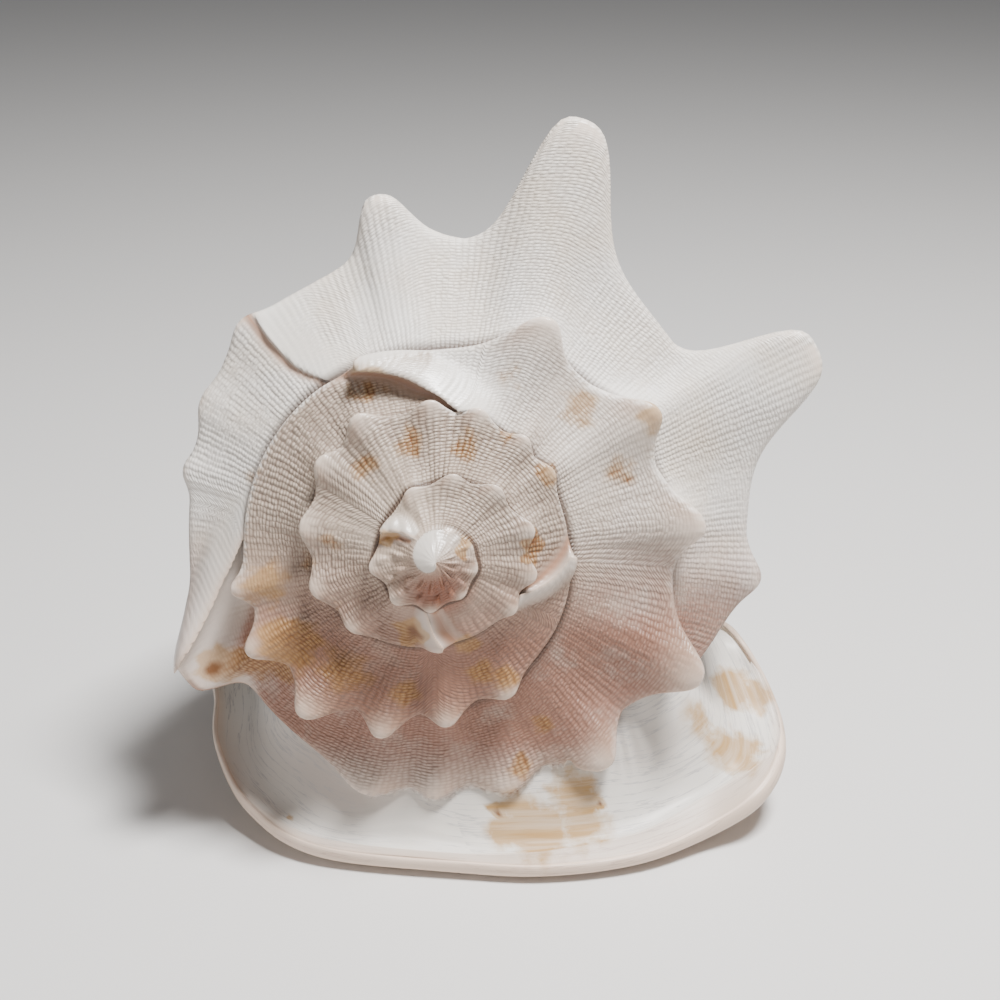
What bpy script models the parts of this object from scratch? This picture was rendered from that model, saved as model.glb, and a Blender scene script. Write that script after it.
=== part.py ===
"""A horned helmet shell, lying on its mouth with the spire to the front.

The shell grew as one piece, so it is one closed solid. Shapes are worked out in millimetres about the
coiling axis and written in metres. +Z is up, -Y is the spire's side, +X is the side of the outer lip,
and the origin is on the floor, under the middle of the shell.

A place along the coil is a growth angle in degrees. 0 is the top of the last whorl, and the angle
rises clockwise as seen from the spire, so -360 is the top of the whorl before. Depth is measured
along the axis, from the tip of the spire towards the narrow front end of the shell.
"""

import math

import bmesh
import bpy
import numpy as np
from mathutils import Matrix, Vector

# Driving dimensions, in millimetres and degrees
MM = 0.001
TIP_HEIGHT = 125.0  # the spire's tip above the floor
AXIS_FALL = 15.0  # how far the coiling axis drops towards the narrow end
TURNS = 5
COLUMNS_A_TURN = 240
RAMP_ROWS = 16
LAST_ANGLE = 150.0  # where the last whorl closes, under the lip
FIRST_ANGLE = LAST_ANGLE - 360.0 * TURNS
RAMP_SAG = 0.05  # how hollow a ramp is, as a share of its width
CLIFF = 0.038  # drop from a shoulder to the next whorl's ramp, as a share of the radius
UNDERCUT = 0.016
SUTURE_PUSH = (0.85, 0.75)  # how much of the last turn's reach and lift the suture takes
PLEAT_FADES = (3.0, 2.2)  # powers by which that push fades outwards, and a knob's pleat grows
ROLL_STARTS = (0.15, 0.3)  # shares of the ramp by which a roll is full in height, and in its overhang
CLOSING_ANGLE = 25.0  # over which the horns die out before the last angle
BODY_LENGTH = 214.0  # from the last shoulder to the shell's narrow end, along the axis
BODY_DROP = 27.0  # how far the body bends down on its way to the narrow end
SPOUT_START = 165.0  # where the narrow end turns up again, in a short open spout
SPOUT_RISE = 24.0
SPOUT_HOLLOW = 14.0
LOWEST_BODY = 8.0  # the body's underside stays inside the foot
WALL = 4.5  # thickness of the shell round its chamber

# The shoulder between its knobs: growth angle, radius from the axis, depth
SHOULDER = [
    (-1650, 0.0, 0.0), (-1560, 6.0, 0.6), (-1461, 10.0, 2.4), (-1371, 12.5, 3.8), (-1290, 15.0, 4.8),
    (-1200, 18.5, 5.8), (-1110, 21.0, 7.2), (-1068, 25.0, 8.2), (-1006, 29.5, 9.4), (-954, 30.0, 10.2),
    (-900, 32.0, 11.4), (-852, 37.0, 13.0), (-800, 42.5, 14.6), (-750, 47.0, 16.0), (-700, 46.0, 16.8),
    (-640, 44.5, 17.6), (-590, 49.5, 19.5), (-540, 56.0, 21.8), (-500, 64.0, 23.8), (-460, 66.0, 25.2),
    (-400, 67.0, 26.4), (-350, 67.0, 28.2), (-310, 76.0, 30.8), (-270, 80.0, 32.4), (-230, 86.0, 33.6),
    (-160, 88.0, 35.6), (-120, 86.5, 38.5), (-80, 89.0, 41.6), (-40, 99.0, 44.5), (-20, 100.0, 45.6),
    (0, 103.0, 46.5), (60, 106.0, 47.5), (105, 107.0, 48.0), (130, 99.0, 45.0), (150, 87.0, 39.0),
]

# Knobs and horns of the shoulder: growth angle, reach, lift towards the spire, half width in degrees
# on the older and on the newer side, and how steep each of those two flanks is
KNOBS = [
    (98, 9.0, 3.0, 3.6, 3.6, 1.2, 1.2), (62.8, 43.0, 8.0, 5.4, 8.0, 2.6, 1.7),
    (19.2, 50.0, 9.0, 5.6, 7.2, 2.4, 1.5), (-10.5, 21.0, 4.0, 3.6, 5.6, 2.0, 1.6),
    (-42, 5.0, 2.0, 4.0, 3.0, 1.4, 1.4), (-60, 3.0, 1.0, 3.5, 4.0, 1.6, 1.6),
    (-75, 4.0, 1.0, 3.0, 3.0, 1.6, 1.6), (-120, 15.5, 7.0, 4.0, 10.0, 3.0, 1.5),
    (-164, 8.0, 3.0, 7.0, 8.0, 1.6, 1.6), (-179, 6.0, 2.5, 5.0, 5.0, 1.6, 1.6),
    (-196, 6.5, 3.0, 6.0, 6.0, 1.6, 1.6), (-217, 12.0, 5.0, 5.5, 7.0, 1.7, 1.7),
    (-243, 18.5, 7.0, 6.5, 7.5, 1.8, 1.8), (-274, 12.5, 5.0, 7.5, 5.0, 1.6, 1.6),
    (-302, 11.5, 5.0, 6.5, 6.0, 1.7, 1.7), (-334, 16.5, 5.0, 8.5, 6.5, 1.6, 1.6),
    (-462, 6.5, 2.5, 4.0, 4.0, 1.6, 1.6), (-479, 9.5, 4.0, 5.5, 5.0, 1.7, 1.7),
    (-501, 11.0, 5.0, 7.0, 6.0, 1.7, 1.7), (-523, 9.0, 4.5, 6.0, 6.0, 1.7, 1.7),
    (-543, 6.5, 3.0, 6.0, 6.0, 1.6, 1.6), (-566, 5.0, 2.0, 6.0, 7.0, 1.6, 1.6),
    (-665, 3.5, 1.5, 6.0, 6.0, 1.6, 1.6), (-682, 4.0, 2.0, 5.0, 5.0, 1.6, 1.6),
    (-703, 4.5, 2.5, 6.0, 6.0, 1.6, 1.6), (-722, 4.5, 2.5, 6.0, 6.0, 1.6, 1.6),
    (-750, 6.5, 3.0, 7.0, 7.0, 1.6, 1.6), (-772, 5.0, 2.5, 7.0, 7.0, 1.6, 1.6),
    (-799, 4.0, 2.2, 8.0, 8.0, 1.6, 1.6), (-827, 4.5, 2.0, 8.0, 8.0, 1.6, 1.6),
    (-852, 2.5, 1.5, 7.0, 8.0, 1.6, 1.6), (-954, 3.0, 1.4, 8.0, 7.0, 1.6, 1.6),
    (-978, 4.5, 1.8, 8.0, 8.0, 1.6, 1.6), (-1006, 4.5, 2.0, 9.0, 9.0, 1.6, 1.6),
    (-1038, 3.8, 1.8, 9.0, 9.0, 1.6, 1.6), (-1068, 3.2, 1.5, 9.0, 9.0, 1.6, 1.6),
    (-1101, 2.6, 1.3, 9.0, 9.0, 1.6, 1.6), (-1180, 3.6, 1.6, 11.0, 11.0, 1.6, 1.6),
    (-1218, 3.4, 1.6, 11.0, 11.0, 1.6, 1.6), (-1255, 3.0, 1.4, 11.0, 11.0, 1.6, 1.6),
    (-1295, 2.6, 1.4, 12.0, 12.0, 1.6, 1.6), (-1335, 2.6, 1.3, 12.0, 12.0, 1.6, 1.6),
    (-1372, 2.0, 1.1, 12.0, 12.0, 1.6, 1.6), (-1414, 1.4, 0.8, 12.0, 12.0, 1.6, 1.6),
]

# Old lips that the shell grew past: growth angle at the inner suture and at the shoulder, height
# there of the rolled rim, and the width in degrees of its roll
VARICES = [
    (-27, -37, 1.5, 2.5, 2.5), (-117, -119, 2.0, 10.0, 5.0), (-384, -386, 3.0, 7.0, 5.0),
    (-637, -640, 2.0, 4.5, 6.0), (-893, -893, 2.0, 3.5, 8.0), (-1133, -1133, 1.5, 2.0, 9.0),
]
# The roll's outline: place along the growth line in roll widths, where it goes, and its height
ROLL = [
    (-1.0, -1.0, 0.0), (0.0, 0.0, 0.05), (0.25, 0.0, 0.45), (0.5, -0.6, 0.8), (0.75, -0.7, 1.05),
    (1.1, 0.0, 1.12), (1.7, 1.1, 1.0), (3.0, 3.0, 0.75), (6.0, 6.0, 0.35), (12.0, 12.0, 0.0),
]

# The body's side: distance from the shoulder along the axis, and radius as a share of the shoulder's
SIDE = [
    (0, 1.0), (10, 0.995), (25, 0.95), (50, 0.86), (80, 0.745), (110, 0.62), (140, 0.49),
    (170, 0.36), (195, 0.25), (214, 0.18),
]
SIDE_STEPS = 40
HORN_BACK = 13.0  # depth behind the shoulder over which a horn fades
# Lower rows of knobs: distance from the shoulder, reach, how far each spreads, and their angles
LOWER_KNOBS = [
    (40, 5.0, 8.0, (-92, -66, -40, -15, 10, 36, 62, 88)),
    (76, 4.5, 7.0, (-80, -54, -28, -3, 22, 48, 74, 98)),
]
LOWER_KNOB_WIDTH = 7.0

# The foot, which is the shield and the outer lip round the mouth: where it leaves the body, its rim,
# the height of the trough between them, the rim's thickness, and the share of the way from the rim
# to the foot's middle at which it rests on the floor. x and y are from the spire's tip
FOOT = [
    ((3, 11, 28), (14, -6, 5), 11, 5.0, 0.16), ((43, 13, 38), (43, -7, 5), 14, 5.0, 0.16),
    ((60, 15, 42), (73, -1, 6), 17, 5.0, 0.17), ((71, 21, 58), (98, 11, 9), 24, 6.0, 0.20),
    ((86, 29, 62), (117, 19, 17), 32, 7.5, 0.27), ((90, 36, 60), (127, 33, 23), 33, 8.5, 0.32),
    ((92, 52, 60), (129, 48, 29), 36, 9.0, 0.36), ((94, 64, 66), (124, 60, 41), 46, 9.0, 0.40),
    ((95, 74, 70), (115, 72, 53), 57, 9.0, 0.40), ((90, 96, 62), (110, 96, 48), 50, 9.0, 0.38),
    ((80, 135, 50), (102, 136, 32), 38, 9.0, 0.34), ((58, 175, 42), (78, 182, 22), 29, 8.0, 0.28),
    ((32, 212, 34), (44, 222, 16), 22, 7.5, 0.24), ((6, 232, 30), (8, 243, 15), 20, 7.0, 0.22),
    ((-22, 205, 32), (-34, 216, 16), 21, 6.0, 0.22), ((-46, 155, 38), (-70, 165, 18), 20, 5.5, 0.24),
    ((-62, 105, 40), (-94, 114, 20), 20, 5.0, 0.25), ((-62, 70, 44), (-92, 80, 21), 21, 5.0, 0.25),
    ((-56, 42, 42), (-87, 50, 20), 19, 5.0, 0.24), ((-42, 22, 34), (-72, 22, 12), 15, 5.0, 0.20),
    ((-22, 13, 30), (-44, 3, 6), 12, 5.0, 0.17),
]
FOOT_MIDDLE = (18.0, 115.0)
FOOT_COLUMNS = 150
# The foot's section: share of the way from the body to the rim, and share of the trough reached there
FOOT_FLARE = [(-0.35, -0.3), (0.0, 0.0), (0.25, 0.55), (0.5, 0.92), (0.75, 1.05), (0.92, 1.0)]
# The underside: distance, as that same share, from where the foot rests, and height above the floor
UNDERSIDE = [(-0.05, -0.8), (0.05, -0.8), (0.16, 9.0), (0.32, 18.0)]
FOOT_CEILING = 60.0
FOOT_FLOOR = 20.0
RIM_ROUND = 0.3  # how far the rim's edges are drawn in, as a share of its thickness

# The mouth, a long slot with teeth on both sides: how far back, where its middle is across, and width
MOUTH = [(52, 37, 8), (75, 34, 16), (110, 30, 20), (150, 25, 21), (190, 21, 18), (222, 17, 14), (236, 14, 8)]
MOUTH_TOP = 48.0
MOUTH_BOTTOM = -6.0
MOUTH_STEPS = 84
TOOTH_PITCH = 9.0
TOOTH_DEPTH = 3.0

# The chamber inside the last whorl, from its older end to the mouth
CHAMBER_START = -178.0
CHAMBER_END = 165.0
CHAMBER_SECTIONS = 28
CHAMBER_LENGTH = (95.0, 165.0)  # along the axis, at its older end and at the mouth
CHAMBER_ROOF = 6.5
# The chamber's section: share of its length at each point of its outer wall
CHAMBER_WALL = (0.05, 0.16, 0.32, 0.5, 0.68, 0.85, 1.0)
# Its inner side, against the pillar in the middle: share of its length, and radius
PILLAR = ((0.96, 10.0), (0.5, 12.0), (0.1, 14.0))
PILLAR_TOP = (14.0, 15.0)  # radius, and depth behind the spire's tip

FLOOR_BLOCK = (600.0, 600.0, 40.0)
WELD = 0.000002
VOXEL = 1.6
SURFACE_TRIANGLES = 7200

SHELL_COLOUR = (0.86, 0.80, 0.74, 1.0)
SHELL_ROUGHNESS = 0.45


def smooth(table, where, column=1):
    """A smooth curve through a table's points, read at the places asked for."""
    knots = np.array([row[0] for row in table], float)
    values = np.array([row[column] for row in table], float)
    slopes = np.gradient(values, knots)
    where = np.clip(np.asarray(where, float), knots[0], knots[-1])
    left = np.clip(np.searchsorted(knots, where, side="right") - 1, 0, len(knots) - 2)
    gap = knots[left + 1] - knots[left]
    share = (where - knots[left]) / gap
    return (
        values[left] * (2 * share**3 - 3 * share**2 + 1)
        + values[left + 1] * (3 * share**2 - 2 * share**3)
        + slopes[left] * gap * (share**3 - 2 * share**2 + share)
        + slopes[left + 1] * gap * (share**3 - share**2)
    )


def shoulder(angle):
    """Radius and depth of the shoulder between its knobs, then the knobs' reach and lift."""
    reach, lift = np.zeros_like(angle), np.zeros_like(angle)
    for centre, length, height, older, newer, older_flank, newer_flank in KNOBS:
        is_older = angle < centre
        away = np.abs(angle - centre) / np.where(is_older, older, newer)
        shape = (1.0 + away ** (2.0 * np.where(is_older, older_flank, newer_flank))) ** -0.75
        reach = np.maximum(reach, length * shape)
        lift = np.maximum(lift, height * shape)
    closing = np.clip((LAST_ANGLE - angle) / CLOSING_ANGLE, 0.0, 1.0)
    return smooth(SHOULDER, angle, 1), smooth(SHOULDER, angle, 2), reach * closing, lift * closing


def suture(angle):
    """Where a whorl's ramp starts: just under the shoulder of the whorl before."""
    radius, depth, reach, lift = shoulder(angle - 360.0)
    begun = np.where(angle < FIRST_ANGLE + 360.0, 0.0, 1.0)
    return (
        radius * (1.0 - UNDERCUT) * begun,
        (depth + radius * CLIFF) * begun,
        reach * SUTURE_PUSH[0] * begun,
        lift * SUTURE_PUSH[1] * begun,
    )


def point(angle, radius, depth):
    """A place given about the coiling axis, as x, y and z in millimetres from under the spire's tip."""
    turn, fall = np.radians(angle), math.radians(AXIS_FALL)
    rise, right = radius * np.cos(turn), radius * np.sin(turn)
    y = depth * math.cos(fall) + rise * math.sin(fall)
    z = TIP_HEIGHT - depth * math.sin(fall) + rise * math.cos(fall)
    return np.stack([right, y, z], axis=-1)


def ramp(angle, share):
    """The ramp of a whorl, from its suture at share 0 to the edge of its shoulder at share 1."""
    in_radius, in_depth, in_reach, in_lift = suture(angle)
    out_radius, out_depth, out_reach, out_lift = shoulder(angle)
    fade, grow = (1.0 - share) ** PLEAT_FADES[0], share ** PLEAT_FADES[1]
    radius = in_radius + (out_radius - in_radius) * share + in_reach * fade + out_reach * grow
    depth = in_depth + (out_depth - in_depth) * share - in_lift * fade - out_lift * grow
    depth = depth + RAMP_SAG * (out_radius - in_radius) * np.sin(math.pi * share)
    turned = angle
    knots = [row[0] for row in ROLL]
    for inner, outer, low, high, width in VARICES:
        place = (angle - (inner + (outer - inner) * share)) / width
        near = (place > knots[0]) & (place < knots[-1])
        height = (low + (high - low) * share) * min(share / ROLL_STARTS[0], 1.0)
        moved = np.interp(place, knots, [row[1] for row in ROLL]) - place
        raised = np.interp(place, knots, [row[2] for row in ROLL]) * height
        turned = turned + np.where(near, moved * width * min(share / ROLL_STARTS[1], 1.0), 0.0)
        depth = depth - np.where(near, raised, 0.0)
    return point(turned, radius, depth)


def body_point(angle, radius, depth, down):
    """A place on or in the body, whose narrow end bends down."""
    made = point(angle, radius, depth)
    turned_up = max(0.0, (down - SPOUT_START) / (BODY_LENGTH - SPOUT_START))
    made[..., 2] += SPOUT_RISE * turned_up**2 - BODY_DROP * (down / BODY_LENGTH) ** 1.5
    return made


def side(angle, down):
    """The body's side, at a distance down the axis from the last shoulder."""
    radius, depth, reach, lift = shoulder(angle)
    near = 1.0 / (1.0 + (down / HORN_BACK) ** 3)
    wide = radius * float(smooth(SIDE, down)) + reach * near
    for row, length, spread, places in LOWER_KNOBS:
        for place in places:
            away = ((angle - place) / LOWER_KNOB_WIDTH) ** 2 + ((down - row) / spread) ** 2
            wide = wide + length * np.exp(-away)
    made = body_point(angle, wide, depth - lift * near + down, down)
    made[..., 2] = np.maximum(made[..., 2], LOWEST_BODY)
    return made


def add_faces(mesh, first_row, second_row):
    """Quads between two rows of vertices, or triangles where the rows share a vertex."""
    pairs = zip(zip(first_row[:-1], first_row[1:]), zip(second_row[:-1], second_row[1:]))
    for (near_start, near_end), (far_start, far_end) in pairs:
        corners = []
        for corner in (near_start, near_end, far_end, far_start):
            if corner not in corners:
                corners.append(corner)
        if len(corners) > 2:
            mesh.faces.new(corners)


def finish(mesh, name, material, collection):
    """An object made from a bmesh whose faces are turned to point outwards."""
    bmesh.ops.recalc_face_normals(mesh, faces=mesh.faces)
    data = bpy.data.meshes.new(name)
    mesh.to_mesh(data)
    mesh.free()
    data.materials.append(material)
    made = bpy.data.objects.new(name, data)
    collection.objects.link(made)
    return made


def make_whorls(material, collection):
    """The coil's outside: one ramp wound round the axis, then the body's side and its narrow end.

    The edge of each turn's shoulder also carries the next turn's ramp, so the turns share vertices.
    """
    mesh = bmesh.new()
    tip = mesh.verts.new(Vector(point(0.0, 0.0, 0.0)) * MM)
    step = 360.0 / COLUMNS_A_TURN
    angles = FIRST_ANGLE + step * np.arange(COLUMNS_A_TURN * TURNS)
    sheet = np.stack([ramp(angles, row / RAMP_ROWS) for row in range(RAMP_ROWS + 1)], axis=1) * MM
    lines = []
    for number, places in enumerate(sheet):
        before = lines[number - COLUMNS_A_TURN][-1] if number >= COLUMNS_A_TURN else tip
        lines.append([before] + [mesh.verts.new(place) for place in places])
    closing = lines[-COLUMNS_A_TURN][-1]
    for first, second in zip(lines, lines[1:] + [[closing] * (RAMP_ROWS + 2)]):
        add_faces(mesh, first, second)

    ring = [line[-1] for line in lines[-COLUMNS_A_TURN:]]
    last_angles = angles[-COLUMNS_A_TURN:]
    for row in range(1, SIDE_STEPS + 1):
        places = side(last_angles, BODY_LENGTH * row / SIDE_STEPS) * MM
        following = [mesh.verts.new(place) for place in places]
        add_faces(mesh, ring + ring[:1], following + following[:1])
        ring = following
    opening = sum((vertex.co for vertex in ring), Vector()) / len(ring)
    end = mesh.verts.new(opening - Vector((0.0, SPOUT_HOLLOW, 0.0)) * MM)
    add_faces(mesh, ring + ring[:1], [end] * (len(ring) + 1))
    bmesh.ops.remove_doubles(mesh, verts=mesh.verts, dist=WELD)
    return finish(mesh, "shell", material, collection)


def around(values, count):
    """A closed smooth curve through the values, read at evenly spaced places."""
    values = np.array(values, float)
    place = np.arange(count) * len(values) / count
    left = np.floor(place).astype(int)
    share = (place - left).reshape([-1] + [1] * (values.ndim - 1))
    a, b, c, d = (values[(left + shift) % len(values)] for shift in (-1, 0, 1, 2))
    return 0.5 * (
        2 * b + (c - a) * share + (2 * a - 5 * b + 4 * c - d) * share**2 + (3 * b - a - 3 * c + d) * share**3
    )


def make_foot(material, collection):
    """The shield and the outer lip: a plate that flares from the body to a thick rolled rim."""
    collar, rim, trough, thick, resting = (around(values, FOOT_COLUMNS) for values in zip(*FOOT))
    middle = np.array(FOOT_MIDDLE)
    outwards = rim[:, :2] - collar[:, :2]
    outwards = outwards / np.linalg.norm(outwards, axis=1, keepdims=True)

    rows = []
    for out, dip in FOOT_FLARE:
        across = collar[:, :2] + (rim[:, :2] - collar[:, :2]) * out
        height = collar[:, 2] + (trough - collar[:, 2]) * dip
        rows.append(np.column_stack([across, height]))
    for inset, height in ((RIM_ROUND, 0.5), (0.0, 0.25), (0.0, -0.25), (RIM_ROUND, -0.5)):
        across = rim[:, :2] - outwards * (inset * thick)[:, None]
        rows.append(np.column_stack([across, rim[:, 2] + height * thick]))
    for beyond, height in UNDERSIDE:
        across = rim[:, :2] + (middle - rim[:, :2]) * (resting + beyond)[:, None]
        rows.append(np.column_stack([across, np.full(FOOT_COLUMNS, height)]))

    mesh = bmesh.new()
    top = mesh.verts.new(Vector((*FOOT_MIDDLE, FOOT_CEILING)) * MM)
    ring = [top] * (FOOT_COLUMNS + 1)
    for row in rows:
        following = [mesh.verts.new(place * MM) for place in row]
        following.append(following[0])
        add_faces(mesh, ring, following)
        ring = following
    bottom = mesh.verts.new(Vector((*FOOT_MIDDLE, FOOT_FLOOR)) * MM)
    add_faces(mesh, ring, [bottom] * (FOOT_COLUMNS + 1))
    return finish(mesh, "foot", material, collection)


def make_chamber(material, collection):
    """The room inside the last whorl, which keeps a wall all round and a pillar in the middle."""
    mesh = bmesh.new()
    sections = []
    for number in range(CHAMBER_SECTIONS + 1):
        grown = number / CHAMBER_SECTIONS
        angle = CHAMBER_START + (CHAMBER_END - CHAMBER_START) * grown
        radius, depth = float(smooth(SHOULDER, angle, 1)), float(smooth(SHOULDER, angle, 2))
        length = CHAMBER_LENGTH[0] + (CHAMBER_LENGTH[1] - CHAMBER_LENGTH[0]) * min(1.0, grown * 2.0)
        places = []
        for share in CHAMBER_WALL:
            down = CHAMBER_ROOF + (length - CHAMBER_ROOF) * share
            places.append((radius * float(smooth(SIDE, down)) - WALL, depth + down, down))
        for share, pillar in PILLAR:
            places.append((pillar, depth + length * share, length * share))
        places.append((PILLAR_TOP[0], PILLAR_TOP[1], 0.0))
        sections.append([mesh.verts.new(body_point(angle, *place) * MM) for place in places])
    for first, second in zip(sections[:-1], sections[1:]):
        add_faces(mesh, first + first[:1], second + second[:1])
    mesh.faces.new(sections[0])
    mesh.faces.new(sections[-1])
    return finish(mesh, "chamber cutter", material, collection)


def make_mouth(material, collection):
    """The slot of the mouth, with rounded teeth down both of its sides."""
    left, right = [], []
    for step in range(MOUTH_STEPS + 1):
        back = MOUTH[0][0] + (MOUTH[-1][0] - MOUTH[0][0]) * step / MOUTH_STEPS
        tooth = TOOTH_DEPTH * max(0.0, math.cos(2.0 * math.pi * back / TOOTH_PITCH))
        half = float(smooth(MOUTH, back, 2)) / 2.0 - tooth
        middle = float(smooth(MOUTH, back, 1))
        left.append((middle - half, back))
        right.append((middle + half, back))
    mesh = bmesh.new()
    outline = [mesh.verts.new(Vector((x, y, MOUTH_BOTTOM)) * MM) for x, y in right + left[::-1]]
    face = mesh.faces.new(outline)
    raised = bmesh.ops.extrude_face_region(mesh, geom=[face])["geom"]
    moved = [item for item in raised if isinstance(item, bmesh.types.BMVert)]
    bmesh.ops.translate(mesh, verts=moved, vec=Vector((0.0, 0.0, MOUTH_TOP - MOUTH_BOTTOM)) * MM)
    return finish(mesh, "mouth cutter", material, collection)


def make_floor(material, collection):
    """A block below the floor, which cuts the shell's resting places flat."""
    bpy.ops.mesh.primitive_cube_add(size=1.0, location=Vector((0.0, 100.0, -FLOOR_BLOCK[2] / 2)) * MM)
    block = bpy.context.active_object
    block.name = "floor cutter"
    block.scale = Vector(FLOOR_BLOCK) * MM
    bpy.ops.object.transform_apply(location=True, rotation=False, scale=True)
    for held in block.users_collection:
        held.objects.unlink(block)
    collection.objects.link(block)
    block.data.materials.append(material)
    return block


def apply_modifiers(made):
    """Replace an object's mesh by what its modifiers make of it."""
    graph = bpy.context.evaluated_depsgraph_get()
    done = bpy.data.meshes.new_from_object(made.evaluated_get(graph))
    made.modifiers.clear()
    made.data = done


def fuse(shell, foot):
    """Grow the foot and the whorls into one skin, then thin its triangles out."""
    joined = bmesh.new()
    joined.from_mesh(shell.data)
    joined.from_mesh(foot.data)
    joined.to_mesh(shell.data)
    joined.free()
    bpy.data.objects.remove(foot)
    remesh = shell.modifiers.new("one skin", "REMESH")
    remesh.mode = "VOXEL"
    remesh.voxel_size = VOXEL * MM
    apply_modifiers(shell)
    thin = shell.modifiers.new("fewer triangles", "DECIMATE")
    thin.ratio = SURFACE_TRIANGLES / (2 * len(shell.data.polygons))
    thin.use_collapse_triangulate = True
    apply_modifiers(shell)


def cut(shell, cutter):
    """Cut a cutter's shape out of the shell."""
    cutter.hide_render = True
    cutter.display_type = "WIRE"
    boolean = shell.modifiers.new(cutter.name, "BOOLEAN")
    boolean.operation = "DIFFERENCE"
    boolean.solver = "EXACT"
    boolean.object = cutter


def stand_on_origin(shell):
    """Move the mesh so that the middle of its footprint is over the origin."""
    places = np.array([vertex.co[:] for vertex in shell.data.vertices])
    middle = (places.min(axis=0) + places.max(axis=0)) / 2.0
    shift = Vector((-middle[0], -middle[1], -places[:, 2].min()))
    shell.data.transform(Matrix.Translation(shift))
    return shift


def main():
    for old in list(bpy.data.objects):
        bpy.data.objects.remove(old)
    material = bpy.data.materials.new("shell")
    material.use_nodes = True
    surface = material.node_tree.nodes["Principled BSDF"]
    surface.inputs["Base Color"].default_value = SHELL_COLOUR
    surface.inputs["Roughness"].default_value = SHELL_ROUGHNESS
    surface.inputs["Metallic"].default_value = 0.0
    collection = bpy.data.collections.new("horned helmet shell")
    cutters = bpy.data.collections.new("cutters")
    for made in (collection, cutters):
        bpy.context.scene.collection.children.link(made)

    shell = make_whorls(material, collection)
    fuse(shell, make_foot(material, collection))
    for maker in (make_chamber, make_mouth, make_floor):
        cut(shell, maker(material, cutters))
    apply_modifiers(shell)
    shell.data.shade_smooth()
    shift = stand_on_origin(shell)
    print("triangles", sum(len(face.vertices) - 2 for face in shell.data.polygons))
    print("the spire's tip is at", [round(value * 1000, 2) for value in shift], "plus its height")


main()
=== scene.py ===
# %% [markdown]
# # A horned helmet shell
# This lesson dresses one large sea shell. It lies on its mouth with the coiled spire towards us: a flat
# coil of ramps with knobs round the edge of each, tall horns on the last one, and a smooth flared shield
# below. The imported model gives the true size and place, and everything here is fitted to it.

# %% Load the frame
import math

import bpy
import numpy as np
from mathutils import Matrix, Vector


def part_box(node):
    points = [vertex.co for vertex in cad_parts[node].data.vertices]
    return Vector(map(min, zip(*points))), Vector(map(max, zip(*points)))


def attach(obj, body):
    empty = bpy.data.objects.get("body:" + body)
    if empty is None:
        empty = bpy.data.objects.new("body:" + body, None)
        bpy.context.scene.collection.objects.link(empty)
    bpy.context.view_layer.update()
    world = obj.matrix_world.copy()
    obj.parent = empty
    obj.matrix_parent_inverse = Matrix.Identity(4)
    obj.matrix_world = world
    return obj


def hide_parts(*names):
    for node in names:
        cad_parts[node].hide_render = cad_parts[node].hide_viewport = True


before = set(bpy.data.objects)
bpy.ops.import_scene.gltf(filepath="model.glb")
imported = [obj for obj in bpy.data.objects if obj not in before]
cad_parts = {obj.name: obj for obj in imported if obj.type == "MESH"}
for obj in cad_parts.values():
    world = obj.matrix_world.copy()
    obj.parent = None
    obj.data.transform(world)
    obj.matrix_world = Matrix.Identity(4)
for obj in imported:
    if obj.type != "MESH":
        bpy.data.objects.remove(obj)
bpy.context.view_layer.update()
frame_low, frame_high = (np.array(corner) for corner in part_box("shell"))
print("the shell's box is", (frame_high - frame_low).round(4), "metres")

# %% [markdown]
# The shell is worked out in millimetres about its coiling axis, from under the tip of the spire. A place
# along the coil is a growth angle: 0 degrees is the top of the last whorl and it rises clockwise as we
# look at the spire, so -360 is one whorl further in. Depth runs along the axis, away from the tip.

# %% Driving measures
MM = 0.001
TIP_HEIGHT = 125.0
AXIS_FALL = 15.0
TURNS = 5
LAST_ANGLE = 150.0
FIRST_ANGLE = LAST_ANGLE - 360.0 * TURNS
print("the coil grows from", FIRST_ANGLE, "to", LAST_ANGLE, "degrees, with its tip", TIP_HEIGHT, "mm up")

# %% [markdown]
# The shoulder is the outer edge of each ramp. Its radius grows in steps and not as one smooth spiral,
# because the animal grew by fits and starts, so it is a short table of places with a smooth curve through
# them. A spiral formula would be shorter, but each whorl would then miss its real outline.

# %% The shoulder
# Between its knobs: growth angle, radius from the axis, depth
SHOULDER = [
    (-1650, 0.8, 0.0), (-1560, 6.0, 0.6), (-1461, 10.0, 2.4), (-1371, 12.5, 3.8), (-1290, 15.0, 4.8),
    (-1200, 18.5, 5.8), (-1110, 21.0, 7.2), (-1068, 25.0, 8.2), (-1006, 29.5, 9.4), (-954, 30.0, 10.2),
    (-900, 32.0, 11.4), (-852, 37.0, 13.0), (-800, 42.5, 14.6), (-750, 47.0, 16.0), (-700, 46.0, 16.8),
    (-640, 44.5, 17.6), (-590, 49.5, 19.5), (-540, 56.0, 21.8), (-500, 64.0, 23.8), (-460, 66.0, 25.2),
    (-400, 67.0, 26.4), (-350, 67.0, 28.2), (-310, 76.0, 30.8), (-270, 80.0, 32.4), (-230, 86.0, 33.6),
    (-160, 88.0, 35.6), (-120, 86.5, 38.5), (-80, 89.0, 41.6), (-40, 99.0, 44.5), (-20, 100.0, 45.6),
    (0, 103.0, 46.5), (60, 106.0, 47.5), (105, 107.0, 48.0), (130, 99.0, 45.0), (150, 87.0, 39.0),
]
print("the shoulder runs out from", SHOULDER[0][1], "to", max(row[1] for row in SHOULDER), "mm")

# %% [markdown]
# Horns and knobs are where the edge of the mantle bulged while it laid down shell. Each one is a bump on
# the shoulder that reaches outwards and leans towards the spire. The horns of the last whorl differ from
# one another, so each flank has its own steepness. The older knobs are alike, so one sharper shape does
# for them, and they stand on stronger pleats.

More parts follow.
